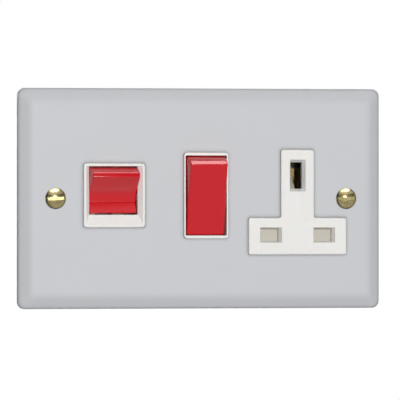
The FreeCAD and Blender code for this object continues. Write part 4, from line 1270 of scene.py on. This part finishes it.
@dataclass
class Studio:
    """The white surroundings, the pale floor, the soft lamps and the camera at the photograph's angle.

    Each of the room's stops gives the height of a ray's direction, from -1 to 1, and the grey seen there.
    """

    azimuth_deg: float = -15.7
    elevation_deg: float = 0.0
    distance: float = 3.0
    across: float = 0.1601
    aim: Point = (0.0006, -0.0002, -0.0006)
    sensor_mm: float = 36.0
    far: float = 100.0
    sky: float = 0.15
    room_stops: Places = (
        (-1.00, 0.50), (0.15, 0.32), (0.28, 0.08), (0.48, 0.08), (0.56, 0.70), (0.64, 0.70), (0.72, 0.12),
        (0.78, 0.12), (0.86, 6.00),
    )
    white_behind: Range = (-0.10, 0.35)
    floor_level: float = -0.80
    floor_side: float = 0.60
    floor_colour: Colour = (0.85, 0.85, 0.85)
    floor_roughness: float = 0.9
    floor_glow: float = 0.6
    lamps: tuple[Lamp, ...] = (
        Lamp("key_lamp", (-0.05, -1.4, 0.14), 0.35, 16.6),
        Lamp("back_lamp", (0.05, 1.4, 0.14), 0.35, 10.0),
    )

    def reflected_room(self, sky: Nodes, camera_ray: Socket) -> Socket:
        """Make the colours that gloss reflects: a dim room in front, with a bright ceiling and a paler floor.

        The room's grey follows the height of the ray's direction, and turns white behind the unit.

        Args:
            sky: The world's nodes.
            camera_ray: 1 for camera rays, which always see white.

        Returns:
            The colour.
        """
        direction = sky.add("TexCoord", {}).outputs["Generated"]
        parts = sky.add("SeparateXYZ", {"Vector": direction}).outputs
        ramp = sky.add("ValToRGB", {"Fac": sky.remapped(parts["Z"], (-1.0, 1.0))})
        stops = ramp.color_ramp.elements
        while len(stops) < len(self.room_stops):
            stops.new(0.5)
        for stop, (height, grey) in zip(stops, self.room_stops):
            stop.position = (height + 1) / 2
            stop.color = (grey, grey, grey, 1.0)
        behind = sky.remapped(parts["Y"], self.white_behind)
        return sky.mixed(sky.largest([camera_ray, behind]), ramp.outputs["Color"], WHITE)

    def surroundings(self) -> None:
        """Make the sky: plain light for surfaces, white for the camera and the room for gloss and glass."""
        world = bpy.data.worlds.new("white_studio")
        world.use_nodes = True
        bpy.context.scene.world = world
        sky = Nodes(world.node_tree)
        plain = sky.tree.nodes["Background"]
        sky.feed(plain, {"Color": (*WHITE, 1.0), "Strength": self.sky})
        path = sky.add("LightPath", {}).outputs
        room = self.reflected_room(sky, path["Is Camera Ray"])
        shown = sky.add("Background", {"Color": room, "Strength": 1.0})
        seen = sky.largest([path[kind] for kind in SEEN_RAYS])
        lights = {"Fac": seen, 1: plain.outputs["Background"], 2: shown.outputs["Background"]}
        whole = sky.add("MixShader", lights).outputs["Shader"]
        sky.feed(sky.tree.nodes["World Output"], {"Surface": whole})

    def floor(self) -> None:
        """Lay the plain pale floor well below the unit, which hangs on a wall.

        It is a flat grid of one face. A glow that only the camera sees lifts it to the surroundings' white,
        so that only a shadow on it shows, and gloss reflects it as pale as it is lit.
        """
        ends = np.array([-0.5, 0.5]) * self.floor_side
        grid = np.meshgrid(ends, ends, [self.floor_level], indexing="ij")
        flat = Surface(np.stack(grid, axis=-1).reshape(-1, 3), grid_quads(2, 2, False))
        made = piece("studio_floor", flat)
        pale = FinishNodes("studio_floor_pale")
        camera_ray = pale.add("LightPath", {}).outputs["Is Camera Ray"]
        pale.dress({
            "Base Color": (*self.floor_colour, 1.0),
            "Roughness": self.floor_roughness,
            "Emission Color": (*WHITE, 1.0),
            "Emission Strength": pale.remapped(camera_ray, (0.0, 1.0), (0.0, self.floor_glow)),
        })
        made.data.materials.append(pale.material)

    def camera(self) -> None:
        """Set the camera at the photograph's angle."""
        azimuth = math.radians(self.azimuth_deg)
        elevation = math.radians(self.elevation_deg)
        back = Vector((
            math.sin(azimuth) * math.cos(elevation),
            -math.cos(azimuth) * math.cos(elevation),
            math.sin(elevation),
        ))
        data = bpy.data.cameras.new("photo_view")
        data.sensor_width = self.sensor_mm
        data.lens = self.sensor_mm * self.distance / self.across
        data.clip_end = self.far
        bpy.context.scene.camera = aimed(data, Vector(self.aim) + back * self.distance, -back)

    def build(self) -> None:
        """Make the surroundings, the floor, the lamps and the camera."""
        bpy.context.scene.view_settings.view_transform = "Standard"
        self.surroundings()
        self.floor()
        for lamp in self.lamps:
            lamp.build()
        self.camera()


def main() -> None:
    """Build every sub-assembly in order."""
    logging.basicConfig(level=logging.INFO, format="%(name)s: %(message)s")
    finishes = Finishes()
    Studio().build()
    CarriedNodes(finishes).build()
    Rocker(finishes, COOKER_ROCKER).build()
    Rocker(finishes, SOCKET_ROCKER).build()
    FrontScrews(finishes).build()
    RearScrews(finishes).build()
    StudsAndNuts(finishes).build()
    Springs(finishes).build()


if __name__ == "__main__":
    main()
